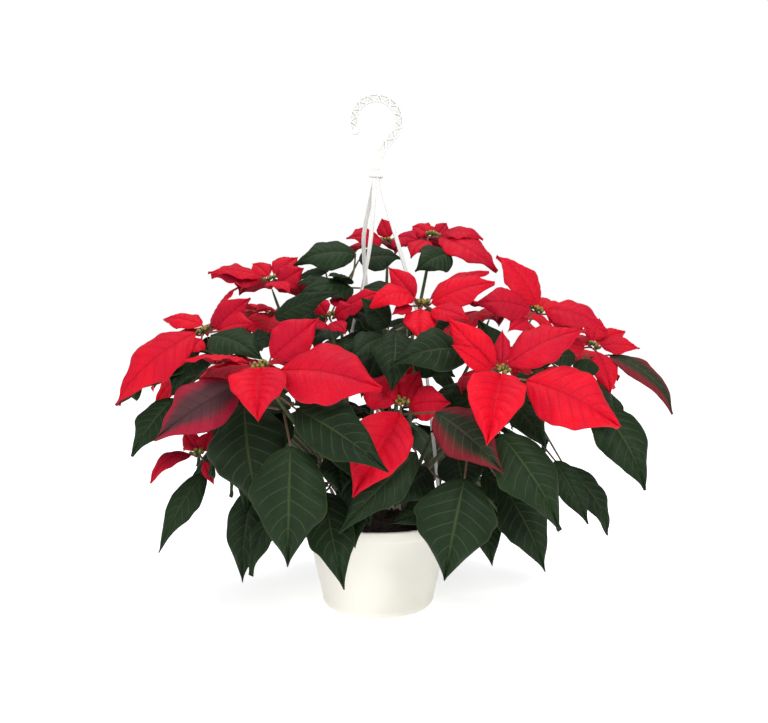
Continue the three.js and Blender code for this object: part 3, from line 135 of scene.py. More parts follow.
class Graph:
    """A material's node tree under construction."""

    def __init__(self, name: str) -> None:
        """Starts an empty node tree in a new material."""
        self.material = bpy.data.materials.new(name)
        self.material.use_nodes = True
        self.tree = self.material.node_tree
        self.tree.nodes.clear()

    def node(self, kind: str, settings: dict, inputs: dict, output: Union[int, str] = 0) -> Value:
        """Adds a node.

        Args:
            kind: The node's type name.
            settings: Its properties, set first; "stops" fills a colour ramp.
            inputs: Values or links, by socket number or name.
            output: The socket to hand back.

        Returns:
            The chosen output.
        """
        made = self.tree.nodes.new(kind)
        for key, setting in settings.items():
            if key == "stops":
                self._fill_ramp(made.color_ramp, setting)
            else:
                setattr(made, key, setting)
        for key, given in inputs.items():
            if isinstance(given, Value):
                self.tree.links.new(given.socket, made.inputs[key])
            elif isinstance(given, tuple) and len(given) == 3 and made.inputs[key].type == "RGBA":
                made.inputs[key].default_value = (*given, 1.0)
            else:
                made.inputs[key].default_value = given
        return Value(self, made.outputs[output])

    @staticmethod
    def _fill_ramp(ramp: bpy.types.ColorRamp, stops: Sequence[tuple[float, Colour]]) -> None:
        """Sets the stops of a colour ramp.

        Args:
            ramp: The ramp to fill.
            stops: Its places and colours.
        """
        while len(ramp.elements) < len(stops):
            ramp.elements.new(0.5)
        for element, (place, colour) in zip(ramp.elements, stops):
            element.position = place
            element.color = (*colour, 1.0)

    def mix(self, share: Number, low: Union[Value, Colour], high: Union[Value, Colour]) -> Value:
        """Colour mix: low where share is 0, high where it is 1."""
        settings = {"data_type": "RGBA", "blend_type": "MIX"}
        return self.node("ShaderNodeMix", settings, {0: share, 6: low, 7: high}, 2)

    def noise(self, where: Value, scale: float, detail: float = 2.0, rough: float = 0.5) -> Value:
        """Fractal noise from 0 to 1."""
        inputs = {"Vector": where, "Scale": scale, "Detail": detail, "Roughness": rough}
        return self.node("ShaderNodeTexNoise", {}, inputs)

    def cells(self, where: Value, scale: float, feature: str = "DISTANCE_TO_EDGE") -> Value:
        """Voronoi cells: the distance to the nearest edge or point."""
        return self.node("ShaderNodeTexVoronoi", {"feature": feature},
                         {"Vector": where, "Scale": scale}, "Distance")

    def object_place(self) -> Value:
        """Object coordinates, in metres."""
        return self.node("ShaderNodeTexCoord", {}, {}, "Object")

    def attribute(self, name: str) -> Value:
        """A number stored on the mesh."""
        return self.node("ShaderNodeAttribute", {"attribute_name": name}, {}, "Fac")

    def finish(self, colour: Union[Value, Colour], rough: Number, height: Optional[Value] = None,
               depth: float = 0.0004, constants: Optional[dict] = None) -> bpy.types.Material:
        """Ends the graph in a principled shader.

        Args:
            colour: Base colour.
            rough: Roughness.
            height: Bump height, if any.
            depth: Bump distance in metres.
            constants: Values set on the shader's own sockets.

        Returns:
            The finished material.
        """
        inputs: dict = {"Base Color": colour, "Roughness": rough, **(constants or {})}
        if height is not None:
            bump = {"Height": height, "Distance": depth, "Strength": 1.0}
            inputs["Normal"] = self.node("ShaderNodeBump", {}, bump)
        shader = self.node("ShaderNodeBsdfPrincipled", {}, inputs)
        end = self.tree.nodes.new("ShaderNodeOutputMaterial")
        self.tree.links.new(shader.socket, end.inputs["Surface"])
        return self.material


# ---------------------------------------------------------------- finishes
@dataclass(frozen=True)
class BladeFinish:
    """Colours of one kind of blade, seen from one side."""

    name: str
    body: Colour
    shade: Colour
    vein: Colour
    rim: Colour
    vein_share: float = 0.5
    rough: float = 0.55
    net: float = 0.12
    blush: Optional[Colour] = None

    def make(self) -> bpy.types.Material:
        """Builds the veined material on the blade's own UV map."""
        g = Graph(self.name)
        uv = g.node("ShaderNodeUVMap", {"uv_map": "UVMap"}, {})
        split = {"Vector": uv}
        along = g.node("ShaderNodeSeparateXYZ", {}, split, "X")
        across = g.node("ShaderNodeSeparateXYZ", {}, split, "Y")
        out = (across * 2.0 - 1.0).call("ABSOLUTE")
        tone = g.attribute("tone")
        place = g.object_place()
        wander = g.noise(place, 60.0, 2.0) - 0.5
        phase = (along - out.call("POWER", 1.15) * VEIN_LEAN + wander * 0.012) * VEINS + tone * 0.6
        away = (phase + 0.5).call("FRACT").call("SUBTRACT", 0.5).call("ABSOLUTE")
        side_vein = away.step(0.085, 0.005) * out.step(1.0, 0.6) * (1.0 - along.step(0.86, 1.0)) * 0.8
        middle = out.step(0.06, 0.01) * (1.0 - along.step(0.8, 1.0) * 0.6)
        mesh_net = g.cells(place, 300.0).step(0.09, 0.0) * self.net
        veins = side_vein.call("MAXIMUM", middle).call("MAXIMUM", mesh_net)
        patch = g.noise(place, 22.0, 3.0)
        fine = g.noise(place, 420.0, 2.0)
        mottle = (patch * 0.7 + fine * 0.3).step(0.34, 0.68)
        # body darkens towards the shade colour with random mottle and with tone, which holds random tone
        # plus painted shade for heads deep in the plant
        body = g.mix(mottle * 0.4 + tone * 0.6, self.body, self.shade)
        if self.blush is not None:
            edge = (out * 0.7 + g.noise(place, 14.0, 3.0) * 0.6 + tone * 0.25).step(0.62, 0.98)
            body = g.mix(edge, body, self.blush)
        body = g.mix(out.step(0.93, 1.0) * 0.6, body, self.rim)
        colour = g.mix(veins * self.vein_share, body, self.vein)
        rough = patch * 0.16 + (self.rough - 0.08) - veins * 0.05
        pebble = g.cells(place, 260.0).step(0.0, 0.22)
        height = fine * 0.16 + pebble * 0.30 - side_vein * 0.55 - middle * 0.8
        return g.finish(colour, rough, height, 0.00045, {"Specular IOR Level": 0.12, "IOR": 1.42})


@dataclass(frozen=True)
class PlasticFinish:
    """Moulded plastic: faint flow marks, light dust and a soft gloss."""

    name: str
    colour: Colour
    dust: Colour
    rough: float

    def make(self) -> bpy.types.Material:
        """Builds the plastic on Object coordinates."""
        g = Graph(self.name)
        place = g.object_place()
        flow = g.node("ShaderNodeMapping", {}, {"Vector": place, "Scale": (1.0, 1.0, 0.25)})
        streak = g.noise(flow, 34.0, 4.0, 0.55)
        speck = g.noise(place, 900.0, 2.0)
        grime = g.noise(place, 12.0, 5.0, 0.62).step(0.52, 0.82)
        colour = g.mix(grime * 0.5 + streak * 0.18, self.colour, self.dust)
        rough = streak * 0.16 + grime * 0.14 + self.rough
        return g.finish(colour, rough, streak * 0.5 + speck * 0.35, 0.00022, {"IOR": 1.48})


@dataclass(frozen=True)
class StemFinish:
    """Green to brown bark of the branches, or the red or green skin of stalks."""

    name: str
    young: Colour
    old: Colour
    low: float
    high: float

    def make(self) -> bpy.types.Material:
        """Builds the bark, older towards the soil."""
        g = Graph(self.name)
        place = g.object_place()
        height = g.node("ShaderNodeSeparateXYZ", {}, {"Vector": place}, "Z")
        long_grain = g.node("ShaderNodeMapping", {}, {"Vector": place, "Scale": (1.0, 1.0, 0.12)})
        grain = g.noise(long_grain, 500.0, 4.0, 0.6)
        patch = g.noise(place, 45.0, 3.0)
        age = (height + patch * 0.12).step(self.high, self.low)
        colour = g.mix(age, self.young, self.old)
        colour = g.mix(grain.step(0.45, 0.75) * 0.35, colour, (0.23, 0.2, 0.13))
        scars = g.cells(place, 95.0).step(0.05, 0.0) * 0.5
        return g.finish(colour, patch * 0.2 + 0.5, grain * 0.6 - scars, 0.0005)


@dataclass(frozen=True)
class SoilFinish:
    """Damp peat."""

    name: str = "damp_peat"

    def make(self) -> bpy.types.Material:
        """Builds dark crumbs with a few pale fibres."""
        g = Graph(self.name)
        place = g.object_place()
        lump = g.noise(place, 160.0, 5.0, 0.65)
        fibre = g.cells(place, 240.0, "F1").step(0.16, 0.02)
        colour = g.mix(lump.step(0.35, 0.7), (0.008, 0.005, 0.004), (0.045, 0.028, 0.017))
        colour = g.mix(fibre * 0.5, colour, (0.16, 0.11, 0.07))
        return g.finish(colour, lump * 0.2 + 0.75, lump + fibre * 0.3, 0.0016)


@dataclass(frozen=True)
class BudFinish:
    """Cyathia: green cups that turn yellow and red at their tips."""

    name: str = "cyathium"

    def make(self) -> bpy.types.Material:
        """Builds the bud from its own height attribute."""
        g = Graph(self.name)
        rise = g.attribute("rise")
        stops = [(0.0, (0.03, 0.055, 0.012)), (0.6, (0.09, 0.12, 0.018)),
                 (0.85, (0.36, 0.24, 0.02)), (1.0, (0.26, 0.03, 0.015))]
        colour = g.node("ShaderNodeValToRGB", {"stops": stops}, {"Fac": rise}, "Color")
        fine = g.noise(g.object_place(), 1400.0, 2.0)
        return g.finish(colour, fine * 0.2 + 0.35, fine, 0.0002)


BRACT_TOP = BladeFinish("bract_upper", (0.70, 0.004, 0.017), (0.33, 0.004, 0.024),
                        (0.22, 0.002, 0.012), (0.62, 0.02, 0.035), 0.36, 0.52, 0.06)
BRACT_UNDER = BladeFinish("bract_underside", (0.42, 0.016, 0.032), (0.26, 0.010, 0.024),
                          (0.46, 0.08, 0.08), (0.36, 0.03, 0.04), 0.45, 0.62, 0.10)
LEAF_TOP = BladeFinish("leaf_upper", (0.014, 0.030, 0.011), (0.007, 0.014, 0.007),
                       (0.075, 0.105, 0.040), (0.050, 0.075, 0.022), 0.42, 0.5, 0.12)
LEAF_UNDER = BladeFinish("leaf_underside", (0.045, 0.072, 0.032), (0.028, 0.05, 0.024),
                         (0.10, 0.135, 0.065), (0.07, 0.10, 0.045), 0.5, 0.66, 0.18)
MAROON_TOP = BladeFinish("maroon_upper", (0.085, 0.030, 0.034), (0.050, 0.024, 0.026),
                         (0.030, 0.014, 0.014), (0.24, 0.014, 0.03), 0.5, 0.52, 0.14,
                         blush=(0.30, 0.010, 0.030))
BLUSHED_TOP = BladeFinish("blushed_upper", (0.020, 0.036, 0.018), (0.020, 0.022, 0.014),
                          (0.12, 0.10, 0.05), (0.13, 0.012, 0.02), 0.45, 0.52, 0.14,
                          blush=(0.17, 0.010, 0.018))
TURNING_UNDER = BladeFinish("turning_underside", (0.07, 0.05, 0.036), (0.10, 0.03, 0.03),
                            (0.14, 0.09, 0.06), (0.18, 0.03, 0.03), 0.45, 0.66, 0.16)


BRACT_STALK = StemFinish("bract_stalk", (0.20, 0.03, 0.02), (0.10, 0.06, 0.02), 0.1, 0.5)
LEAF_STALK = StemFinish("leaf_stalk", (0.13, 0.10, 0.035), (0.10, 0.035, 0.025), 0.1, 0.6)


class Kind(Enum):
    """The three kinds of blade."""

    BRACT = "red_bract"
    LEAF = "green_leaf"
    TURNING = "turning_leaf"


# ---------------------------------------------------------------- mesh helpers
def curve_through(places: Sequence[float], values: np.ndarray, at: np.ndarray) -> np.ndarray:
    """Smooth values between stations by cubic Hermite pieces.

    Args:
        places: Rising station positions.
        values: One row per station.
        at: Positions to read.

    Returns:
        One row per position.
    """
    x = np.asarray(places, float)
    y = np.asarray(values, float)
    flat = y.ndim == 1
    y = y.reshape(len(x), -1)
    steps = np.diff(x)[:, None]
    slopes = np.diff(y, axis=0) / steps
    tangents = np.vstack([slopes[:1], (slopes[:-1] + slopes[1:]) / 2, slopes[-1:]])
    i = np.clip(np.searchsorted(x, at, side="right") - 1, 0, len(x) - 2)
    h = steps[i]
    t = ((at - x[i])[:, None]) / h
    t2, t3 = t * t, t * t * t
    made = ((2 * t3 - 3 * t2 + 1) * y[i] + (t3 - 2 * t2 + t) * h * tangents[i]
            + (3 * t2 - 2 * t3) * y[i + 1] + (t3 - t2) * h * tangents[i + 1])
    return made[:, 0] if flat else made


def unit(rows: np.ndarray) -> np.ndarray:
    """Rows scaled to length one."""
    return rows / np.maximum(np.linalg.norm(rows, axis=-1, keepdims=True), 1e-12)


def smooth(low: float, high: float, at: np.ndarray) -> np.ndarray:
    """A smooth rise from 0 at low to 1 at high."""
    t = np.clip((at - low) / (high - low), 0.0, 1.0)
    return t * t * (3 - 2 * t)


def new_piece(name: str, bm: bmesh.types.BMesh, finishes: Iterable[bpy.types.Material]) -> bpy.types.Object:
    """Turns a bmesh into an object that rides on the root body.

    Args:
        name: The piece's name.
        bm: The mesh, freed here.
        finishes: Its materials, in slot order.

    Returns:
        The linked object.
    """
    mesh = bpy.data.meshes.new(name)
    bm.to_mesh(mesh)
    bm.free()
    for face in mesh.polygons:
        face.use_smooth = True
    for finish in finishes:
        mesh.materials.append(finish)
    piece = bpy.data.objects.new(name, mesh)
    bpy.context.scene.collection.objects.link(piece)
    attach(piece, "root")
    LOG.info("%s: %d faces", name, len(mesh.polygons))
    return piece


def merged_copy(node: str) -> bmesh.types.BMesh:
    """A CAD node's mesh with its loose triangles joined.

    Args:
        node: The CAD node's name.

    Returns:
        The merged mesh.
    """
    bm = bmesh.new()
    bm.from_mesh(frame["nodes"][node].data)
    bmesh.ops.remove_doubles(bm, verts=bm.verts, dist=MERGE)
    bm.verts.ensure_lookup_table()
    return bm


def add_modifier(piece: bpy.types.Object, kind: str, **settings: object) -> None:
    """Adds a modifier with its settings."""
    made = piece.modifiers.new(kind.lower(), kind)
    for key, setting in settings.items():
        setattr(made, key, setting)


def sweep(bm: bmesh.types.BMesh, points: np.ndarray, radii: np.ndarray, sides: int = 8) -> None:
    """Adds a closed round tube along points to bm.

    Args:
        bm: The mesh to add to.
        points: The tube's middle line.
        radii: Its radius at each point.
        sides: Sides of its section.
    """
    tangents = unit(np.gradient(points, axis=0))
    side = np.cross(tangents[0], (0.3, 0.8, 0.52))
    rings = []
    for point, tangent, radius in zip(points, tangents, radii):
        side = side - tangent * float(np.dot(side, tangent))
        side = side / np.linalg.norm(side)
        third = np.cross(tangent, side)
        turn = Matrix((Vector(side), Vector(third), Vector(tangent))).transposed().to_4x4()
        turn.translation = Vector(point)
        made = bmesh.ops.create_circle(bm, segments=sides, radius=float(radius), matrix=turn,
                                       cap_ends=len(rings) in (0, len(points) - 1))
        rings.append({e for v in made["verts"] for e in v.link_edges})
    for low, high in zip(rings, rings[1:]):
        bmesh.ops.bridge_loops(bm, edges=[*low, *high])


def spun(profile: Sequence[tuple[float, float]], steps: int) -> bmesh.types.BMesh:
    """A closed turned shape from [radius, height] points that start and end on the axis or close.

    Args:
        profile: Points as radius and height.
        steps: Segments in the full turn.

    Returns:
        The closed shape.
    """
    bm = bmesh.new()
    verts = [bm.verts.new((r, 0.0, z)) for r, z in profile]
    edges = [bm.edges.new(pair) for pair in zip(verts, verts[1:])]
    bmesh.ops.spin(bm, geom=[*verts, *edges], cent=(0, 0, 0), axis=(0, 0, 1), angle=2 * math.pi,
                   steps=steps, use_merge=True)
    bmesh.ops.remove_doubles(bm, verts=bm.verts, dist=0.01 * MM)
    bmesh.ops.recalc_face_normals(bm, faces=bm.faces)
    return bm


# ---------------------------------------------------------------- blades
@dataclass
class Skeleton:
    """What a CAD blade says about its finished one: all rows run from the base to the tip."""

    stations: np.ndarray
    middles: np.ndarray
    sides: np.ndarray
    faces: np.ndarray
    lift: float
    width: float
    stalk: np.ndarray

    @property
    def length(self) -> float:
        """Distance along the midrib."""
        return float(np.linalg.norm(np.diff(self.middles, axis=0), axis=1).sum())


class SkeletonReader:
    """Finds the blades in a CAD node: each tip is a vertex with four edges."""

    NARROW = 3.2 * MM  # a ring narrower than this belongs to the stalk

    def __init__(self, node: str) -> None:
        """Reads the node and finds its tips."""
        self.bm = merged_copy(node)
        self.tips = [v for v in self.bm.verts if len(v.link_edges) == 4 and self._is_sharp(v)]

    @staticmethod
    def _is_sharp(vertex: bmesh.types.BMVert) -> bool:
        """Whether all edges leave the vertex the same way, as they do at a tip."""
        ways = [(e.other_vert(vertex).co - vertex.co).normalized() for e in vertex.link_edges]
        total = sum(ways, Vector())
        return total.length > 2.2

    @staticmethod
    def _links(vertex: bmesh.types.BMVert, ring: list) -> int:
        """How many of a ring's vertices a vertex is joined to."""
        return sum(1 for e in vertex.link_edges if e.other_vert(vertex) in ring)

    def _rings(self, tip: bmesh.types.BMVert) -> list[list[bmesh.types.BMVert]]:
        """Walks from a tip towards the hub, ring by ring.

        Args:
            tip: The blade's tip.

        Returns:
            The tip and then each ring of four vertices.
        """
        seen = {tip}
        rings = [[tip]]
        while True:
            grown = {e.other_vert(v) for v in rings[-1] for e in v.link_edges} - seen
            if len(grown) != 4:
                return rings
            seen |= grown
            rings.append(self._in_order(grown))

    @staticmethod
    def _in_order(ring: set) -> list[bmesh.types.BMVert]:
        """The ring's four vertices as two opposite pairs: [a, b, a's opposite, b's opposite].

        Args:
            ring: Four vertices.

        Returns:
            The vertices with opposite ones two apart.
        """
        first = min(ring, key=lambda v: v.index)
        beside = [e.other_vert(first) for e in first.link_edges if e.other_vert(first) in ring]
        others = [v for v in ring if v is not first]
        if len(beside) >= 3:
            beside.sort(key=lambda v: (v.co - first.co).length)
            opposite = beside[-1]
        else:
            opposite = next(v for v in others if v not in beside)
        rest = [v for v in others if v is not opposite]
        return [first, rest[0], opposite, rest[1]]

    def skeletons(self) -> list[Skeleton]:
        """Every blade of the node, in a fixed order."""
        made = [self._skeleton(self._rings(tip)) for tip in self.tips]
        made.sort(key=lambda s: tuple(np.round(s.middles[-1], 5)))
        self.bm.free()
        return made

    def _skeleton(self, rings: list) -> Skeleton:
        """Reads one blade from its rings.

        Args:
            rings: The tip and its rings, tip first.

        Returns:
            The blade from its base to its tip.
        """
        tip = np.array(rings[0][0].co)
        wide, stalk = [], []
        for toward_tip, ring in zip(rings, rings[1:]):
            pairs = ((ring[0], ring[2]), (ring[1], ring[3]))
            spans = [(a.co - b.co).length for a, b in pairs]
            if max(spans) > self.NARROW and not stalk:
                edge, spine = pairs if spans[0] > spans[1] else pairs[::-1]
                wide.append((edge, spine, toward_tip))
            else:
                stalk.append(np.mean([np.array(v.co) for v in ring], axis=0))
        wide.reverse()
        stalk.reverse()
        base = stalk[-1]
        middles = [base] + [np.mean([np.array(v.co) for v in spine], axis=0) for _, spine, _ in wide]
        middles = np.array([*middles, tip])
        along = unit(np.gradient(middles, axis=0))
        top, under = self._top_first(wide[0])
        sides, faces, lifts = [], [], []
        last_face = np.array(top.co - under.co)
        for i, (edge, spine, _) in enumerate(wide):
            across = np.array(edge[0].co - edge[1].co)
            across -= along[i + 1] * across.dot(along[i + 1])
            across = across / np.linalg.norm(across)
            face = np.cross(across, along[i + 1])
            if face.dot(last_face) < 0:
                across, face = -across, -face
            last_face = face
            sides.append(across)
            faces.append(face)
            rim = (np.array(edge[0].co) + np.array(edge[1].co)) / 2 - middles[i + 1]
            half = (edge[0].co - edge[1].co).length / 2
            lifts.append(float(rim.dot(face)) / half)
        width = max((edge[0].co - edge[1].co).length for edge, _, _ in wide)
        sides = np.array([sides[0], *sides, sides[-1]])
        faces = np.array([faces[0], *faces, faces[-1]])
        gaps = np.linalg.norm(np.diff(middles, axis=0), axis=1)
        stations = np.concatenate([[0.0], np.cumsum(gaps) / gaps.sum()])
        return Skeleton(stations, middles, sides, faces, float(np.mean(lifts)), width, np.array(stalk))

    def _top_first(self, first_wide: tuple) -> tuple[bmesh.types.BMVert, bmesh.types.BMVert]:
        """The upper and lower spine vertices of the widening ring, told apart by their edges."""
        _, spine, toward_tip = first_wide
        links = [self._links(v, toward_tip) for v in spine]
        return spine if links[0] >= links[1] else spine[::-1]


@dataclass(frozen=True)
class BladeStyle:
    """How a kind of blade differs from a plain oval sheet. Lengths are shares of the width."""

    outline: tuple[tuple[float, float], ...]
    quilt: float
    groove: float
    arch: float
    ripple: float
    curl: float
    lobe: float
    thick: float = 0.5 * MM


BRACT_STYLE = BladeStyle(
    ((0, 0.03), (0.03, 0.2), (0.08, 0.44), (0.16, 0.68), (0.27, 0.92), (0.38, 1.0), (0.5, 0.97),
     (0.62, 0.82), (0.74, 0.56), (0.84, 0.32), (0.91, 0.16), (0.96, 0.065), (1, 0.012)),
    quilt=0.026, groove=0.050, arch=0.12, ripple=0.036, curl=0.045, lobe=0.0)
LEAF_STYLE = BladeStyle(
    ((0, 0.03), (0.02, 0.24), (0.06, 0.50), (0.12, 0.70), (0.24, 0.92), (0.36, 1.0), (0.5, 0.94),
     (0.62, 0.77), (0.74, 0.52), (0.84, 0.29), (0.91, 0.14), (0.96, 0.055), (1, 0.012)),
    quilt=0.024, groove=0.044, arch=0.10, ripple=0.036, curl=0.06, lobe=0.22)
STYLES = {Kind.BRACT: BRACT_STYLE, Kind.LEAF: LEAF_STYLE, Kind.TURNING: LEAF_STYLE}


class BladeBuilder:
    """Builds fine blades on skeletons, all of one kind."""

    ALONG = 40
    ACROSS = 18

    def __init__(self, kind: Kind, seed: str, depth: float = 0.0) -> None:
        """Takes the style and starts the random draws."""
        self.kind = kind
        self.style = STYLES[kind]
        # depth: painted shade, a share that darkens every blade of a head deep in the plant
        self.depth = depth
        self.rng = random.Random(seed)

    def add(self, bm: bmesh.types.BMesh, skeleton: Skeleton) -> None:
        """Adds one blade to bm, as a grid laid on its skeleton.

        Args:
            bm: The mesh to add to.
            skeleton: The blade's skeleton.
        """
        tone_layer = bm.verts.layers.float["tone"]
        # tone: a random share plus the head's depth, the depth being painted shade on heads deep in the
        # plant
        tone = self.depth + (1.0 - self.depth) * self.rng.uniform(0.0, 0.75)
        made = bmesh.ops.create_grid(bm, x_segments=self.ALONG, y_segments=self.ACROSS, size=0.5,
                                     calc_uvs=True)
        verts = made["verts"]
        flat = np.array([v.co[:2] for v in verts])
        s = np.clip(flat[:, 0] + 0.5, 0.0, 1.0)
        v = np.clip(flat[:, 1] * -2.0, -1.0, 1.0)
        for vert, place in zip(verts, self._surface(skeleton, s, v)):
            vert.co = place
            vert[tone_layer] = tone

    def _surface(self, k: Skeleton, s: np.ndarray, v: np.ndarray) -> np.ndarray:
        """Points of the blade for shares along (0 to 1) and across (-1 to 1).

        Args:
            k: The skeleton.
            s: Shares along the blade.
            v: Shares across it.

        Returns:
            One point per share pair.
        """
        style, rng = self.style, self.rng
        middle = curve_through(k.stations, k.middles, s)
        side = unit(curve_through(k.stations, k.sides, s))
        face = unit(curve_through(k.stations, k.faces, s))
        half = k.width / 2
        places, shares = zip(*style.outline)
        reach = half * curve_through(places, np.array(shares), s)
        reach = reach * self._lobes(s, v)
        out = np.abs(v)
        rise = reach * k.lift * out
        rise += half * style.arch * np.sin(np.pi * np.minimum(out, 1.0)) * smooth(0.0, 0.2, s)
        rise -= half * style.groove * np.exp(-((out / 0.1) ** 2)) * (1 - smooth(0.75, 1.0, s))
        phase = (s - VEIN_LEAN * out ** 1.15) * VEINS
        valley = np.abs(np.mod(phase + 0.5, 1.0) - 0.5) * 2
        puff = np.sqrt(np.clip(valley, 0.0, 1.0)) - 0.7
        fade = smooth(0.02, 0.16, s) * (1 - smooth(0.8, 0.98, s)) * smooth(0.04, 0.3, out)
        quilt = style.quilt * rng.uniform(0.7, 1.7)
        rise += k.width * quilt * puff * fade * (1 - 0.55 * smooth(0.75, 1.0, out))
        waves = rng.uniform(2.2, 3.6)
        turn = np.where(v > 0, rng.uniform(0, 6.28), rng.uniform(0, 6.28))
        wave = np.sin(2 * np.pi * waves * s + turn)
        rise += k.width * style.ripple * wave * smooth(0.45, 1.0, out) * smooth(0.05, 0.3, s)
        fall = k.length * style.curl * rng.uniform(0.3, 1.3) * smooth(0.62, 1.0, s) ** 2
        twist = half * rng.uniform(-0.10, 0.10) * v * smooth(0.3, 1.0, s)
        sway = k.width * rng.uniform(-0.035, 0.035) * np.sin(np.pi * s)
        return (middle + side * (reach * v + sway)[:, None]
                + face * (rise - fall + twist)[:, None])

    def _lobes(self, s: np.ndarray, v: np.ndarray) -> np.ndarray:
        """Shallow pointed lobes on either margin, as a factor on the width.

        Args:
            s: Shares along the blade.
            v: Shares across it.

        Returns:
            A factor on the half width.
        """
        factor = np.ones_like(s)
        if not self.style.lobe:
            return 1 + 0.02 * np.sin(s * 31 + self.rng.uniform(0, 6)) * np.sign(v)
        for way in (-1, 1):
            for centre in (self.rng.uniform(0.3, 0.42), self.rng.uniform(0.5, 0.62)):
                size = self.style.lobe * self.rng.uniform(-0.1, 1.0)
                gap = (s - centre) / 0.07
                tooth = np.where(gap < 0, np.exp(-(gap / 2.2) ** 2), np.exp(-(gap / 0.9) ** 2))
                factor += np.where(v * way > 0, max(size, 0.0) * tooth, 0.0)
        return factor / factor.max() * min(1.06, factor.max())


@dataclass
class Foliage:
    """All blades of the plants, with their stalks."""

    # painted shade: heads deep in the plant or at its back get a larger share, which darkens their bracts
    # towards the shade colour
    PAINTED_SHADE_DEPTHS = {
        "bract_head_top_back": 0.5, "bract_head_top_right": 0.55, "bract_head_low_left": 0.8,
        "bract_head_inner_left": 0.7, "bract_head_middle_low": 0.15, "bract_head_left": 0.2,
        "bract_head_far_right": 0.35, "bract_head_back_low": 0.3,
    }
    stalk_radius: float = 1.15 * MM
    finishes: dict = field(default_factory=dict)
    hubs: dict = field(default_factory=dict)

    def __post_init__(self) -> None:
        """Makes every finish once."""
        self.finishes = {
            Kind.BRACT: (BRACT_TOP.make(), BRACT_UNDER.make()),
            Kind.LEAF: (LEAF_TOP.make(), LEAF_UNDER.make()),
            Kind.TURNING: (BLUSHED_TOP.make(), TURNING_UNDER.make()),
        }
        maroon = (MAROON_TOP.make(), self.finishes[Kind.TURNING][1])
        self.finishes["leaf_turning_left"] = maroon
        self.stalk_finishes = {
            Kind.BRACT: BRACT_STALK.make(),
            Kind.LEAF: LEAF_STALK.make(),
        }

    def build(self) -> None:
        """Builds every head, twig and leaf of the frame."""
        slots = {row["node"]: row["material_slot"] for row in frame["record"]["subparts"]}
        wanted = {kind.value: kind for kind in Kind}
        stalks: dict[Kind, list[np.ndarray]] = {Kind.BRACT: [], Kind.LEAF: []}
        for node in sorted(frame["nodes"]):
            kind = wanted.get(slots[node])
            if kind is None:
                continue
            skeletons = SkeletonReader(node).skeletons()
            self._blades(node, kind, skeletons)
            family = Kind.BRACT if kind is Kind.BRACT else Kind.LEAF
            stalks[family].extend(s.stalk for s in skeletons)
            if kind is Kind.BRACT:
                self.hubs[node] = np.mean([s.stalk[0] for s in skeletons], axis=0)
        self._stalks("bract_stalks", Kind.BRACT, stalks[Kind.BRACT])
        self._stalks("leaf_stalks", Kind.LEAF, stalks[Kind.LEAF])

    def _blades(self, node: str, kind: Kind, skeletons: list[Skeleton]) -> None:
        """Builds the blades of one node as one piece.

        Args:
            node: The CAD node.
            kind: Its kind of blade.
            skeletons: Its blades.
        """
        bm = bmesh.new()
        bm.verts.layers.float.new("tone")
        bm.loops.layers.uv.new("UVMap")
        builder = BladeBuilder(kind, node, self.PAINTED_SHADE_DEPTHS.get(node, 0.0))
        for skeleton in skeletons:
            builder.add(bm, skeleton)
        piece = new_piece(f"{node}_blades", bm, self.finishes.get(node, self.finishes[kind]))
        add_modifier(piece, "SOLIDIFY", thickness=builder.style.thick, offset=0.0,
                     material_offset=1, material_offset_rim=0)
        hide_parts(node)

    def _stalks(self, name: str, kind: Kind, routes: list[np.ndarray]) -> None:
        """Builds one family of stalks as one piece.

        Args:
            name: The piece's name.
            kind: The family.
            routes: A middle line for each stalk.
        """
        bm = bmesh.new()
        for route in routes:
            gaps = np.linalg.norm(np.diff(route, axis=0), axis=1)
            stations = np.concatenate([[0.0], np.cumsum(gaps)])
            if len(route) < 2 or stations[-1] < 0.5 * MM:
                continue
            count = max(3, int(stations[-1] / (5 * MM)) + 2)
            at = np.linspace(0.0, stations[-1], count)
            points = curve_through(stations, route, at)
            radii = self.stalk_radius * (1.25 - 0.35 * at / at[-1])
            sweep(bm, points, radii, 8)
        bmesh.ops.recalc_face_normals(bm, faces=bm.faces)
        new_piece(name, bm, [self.stalk_finishes[kind]])


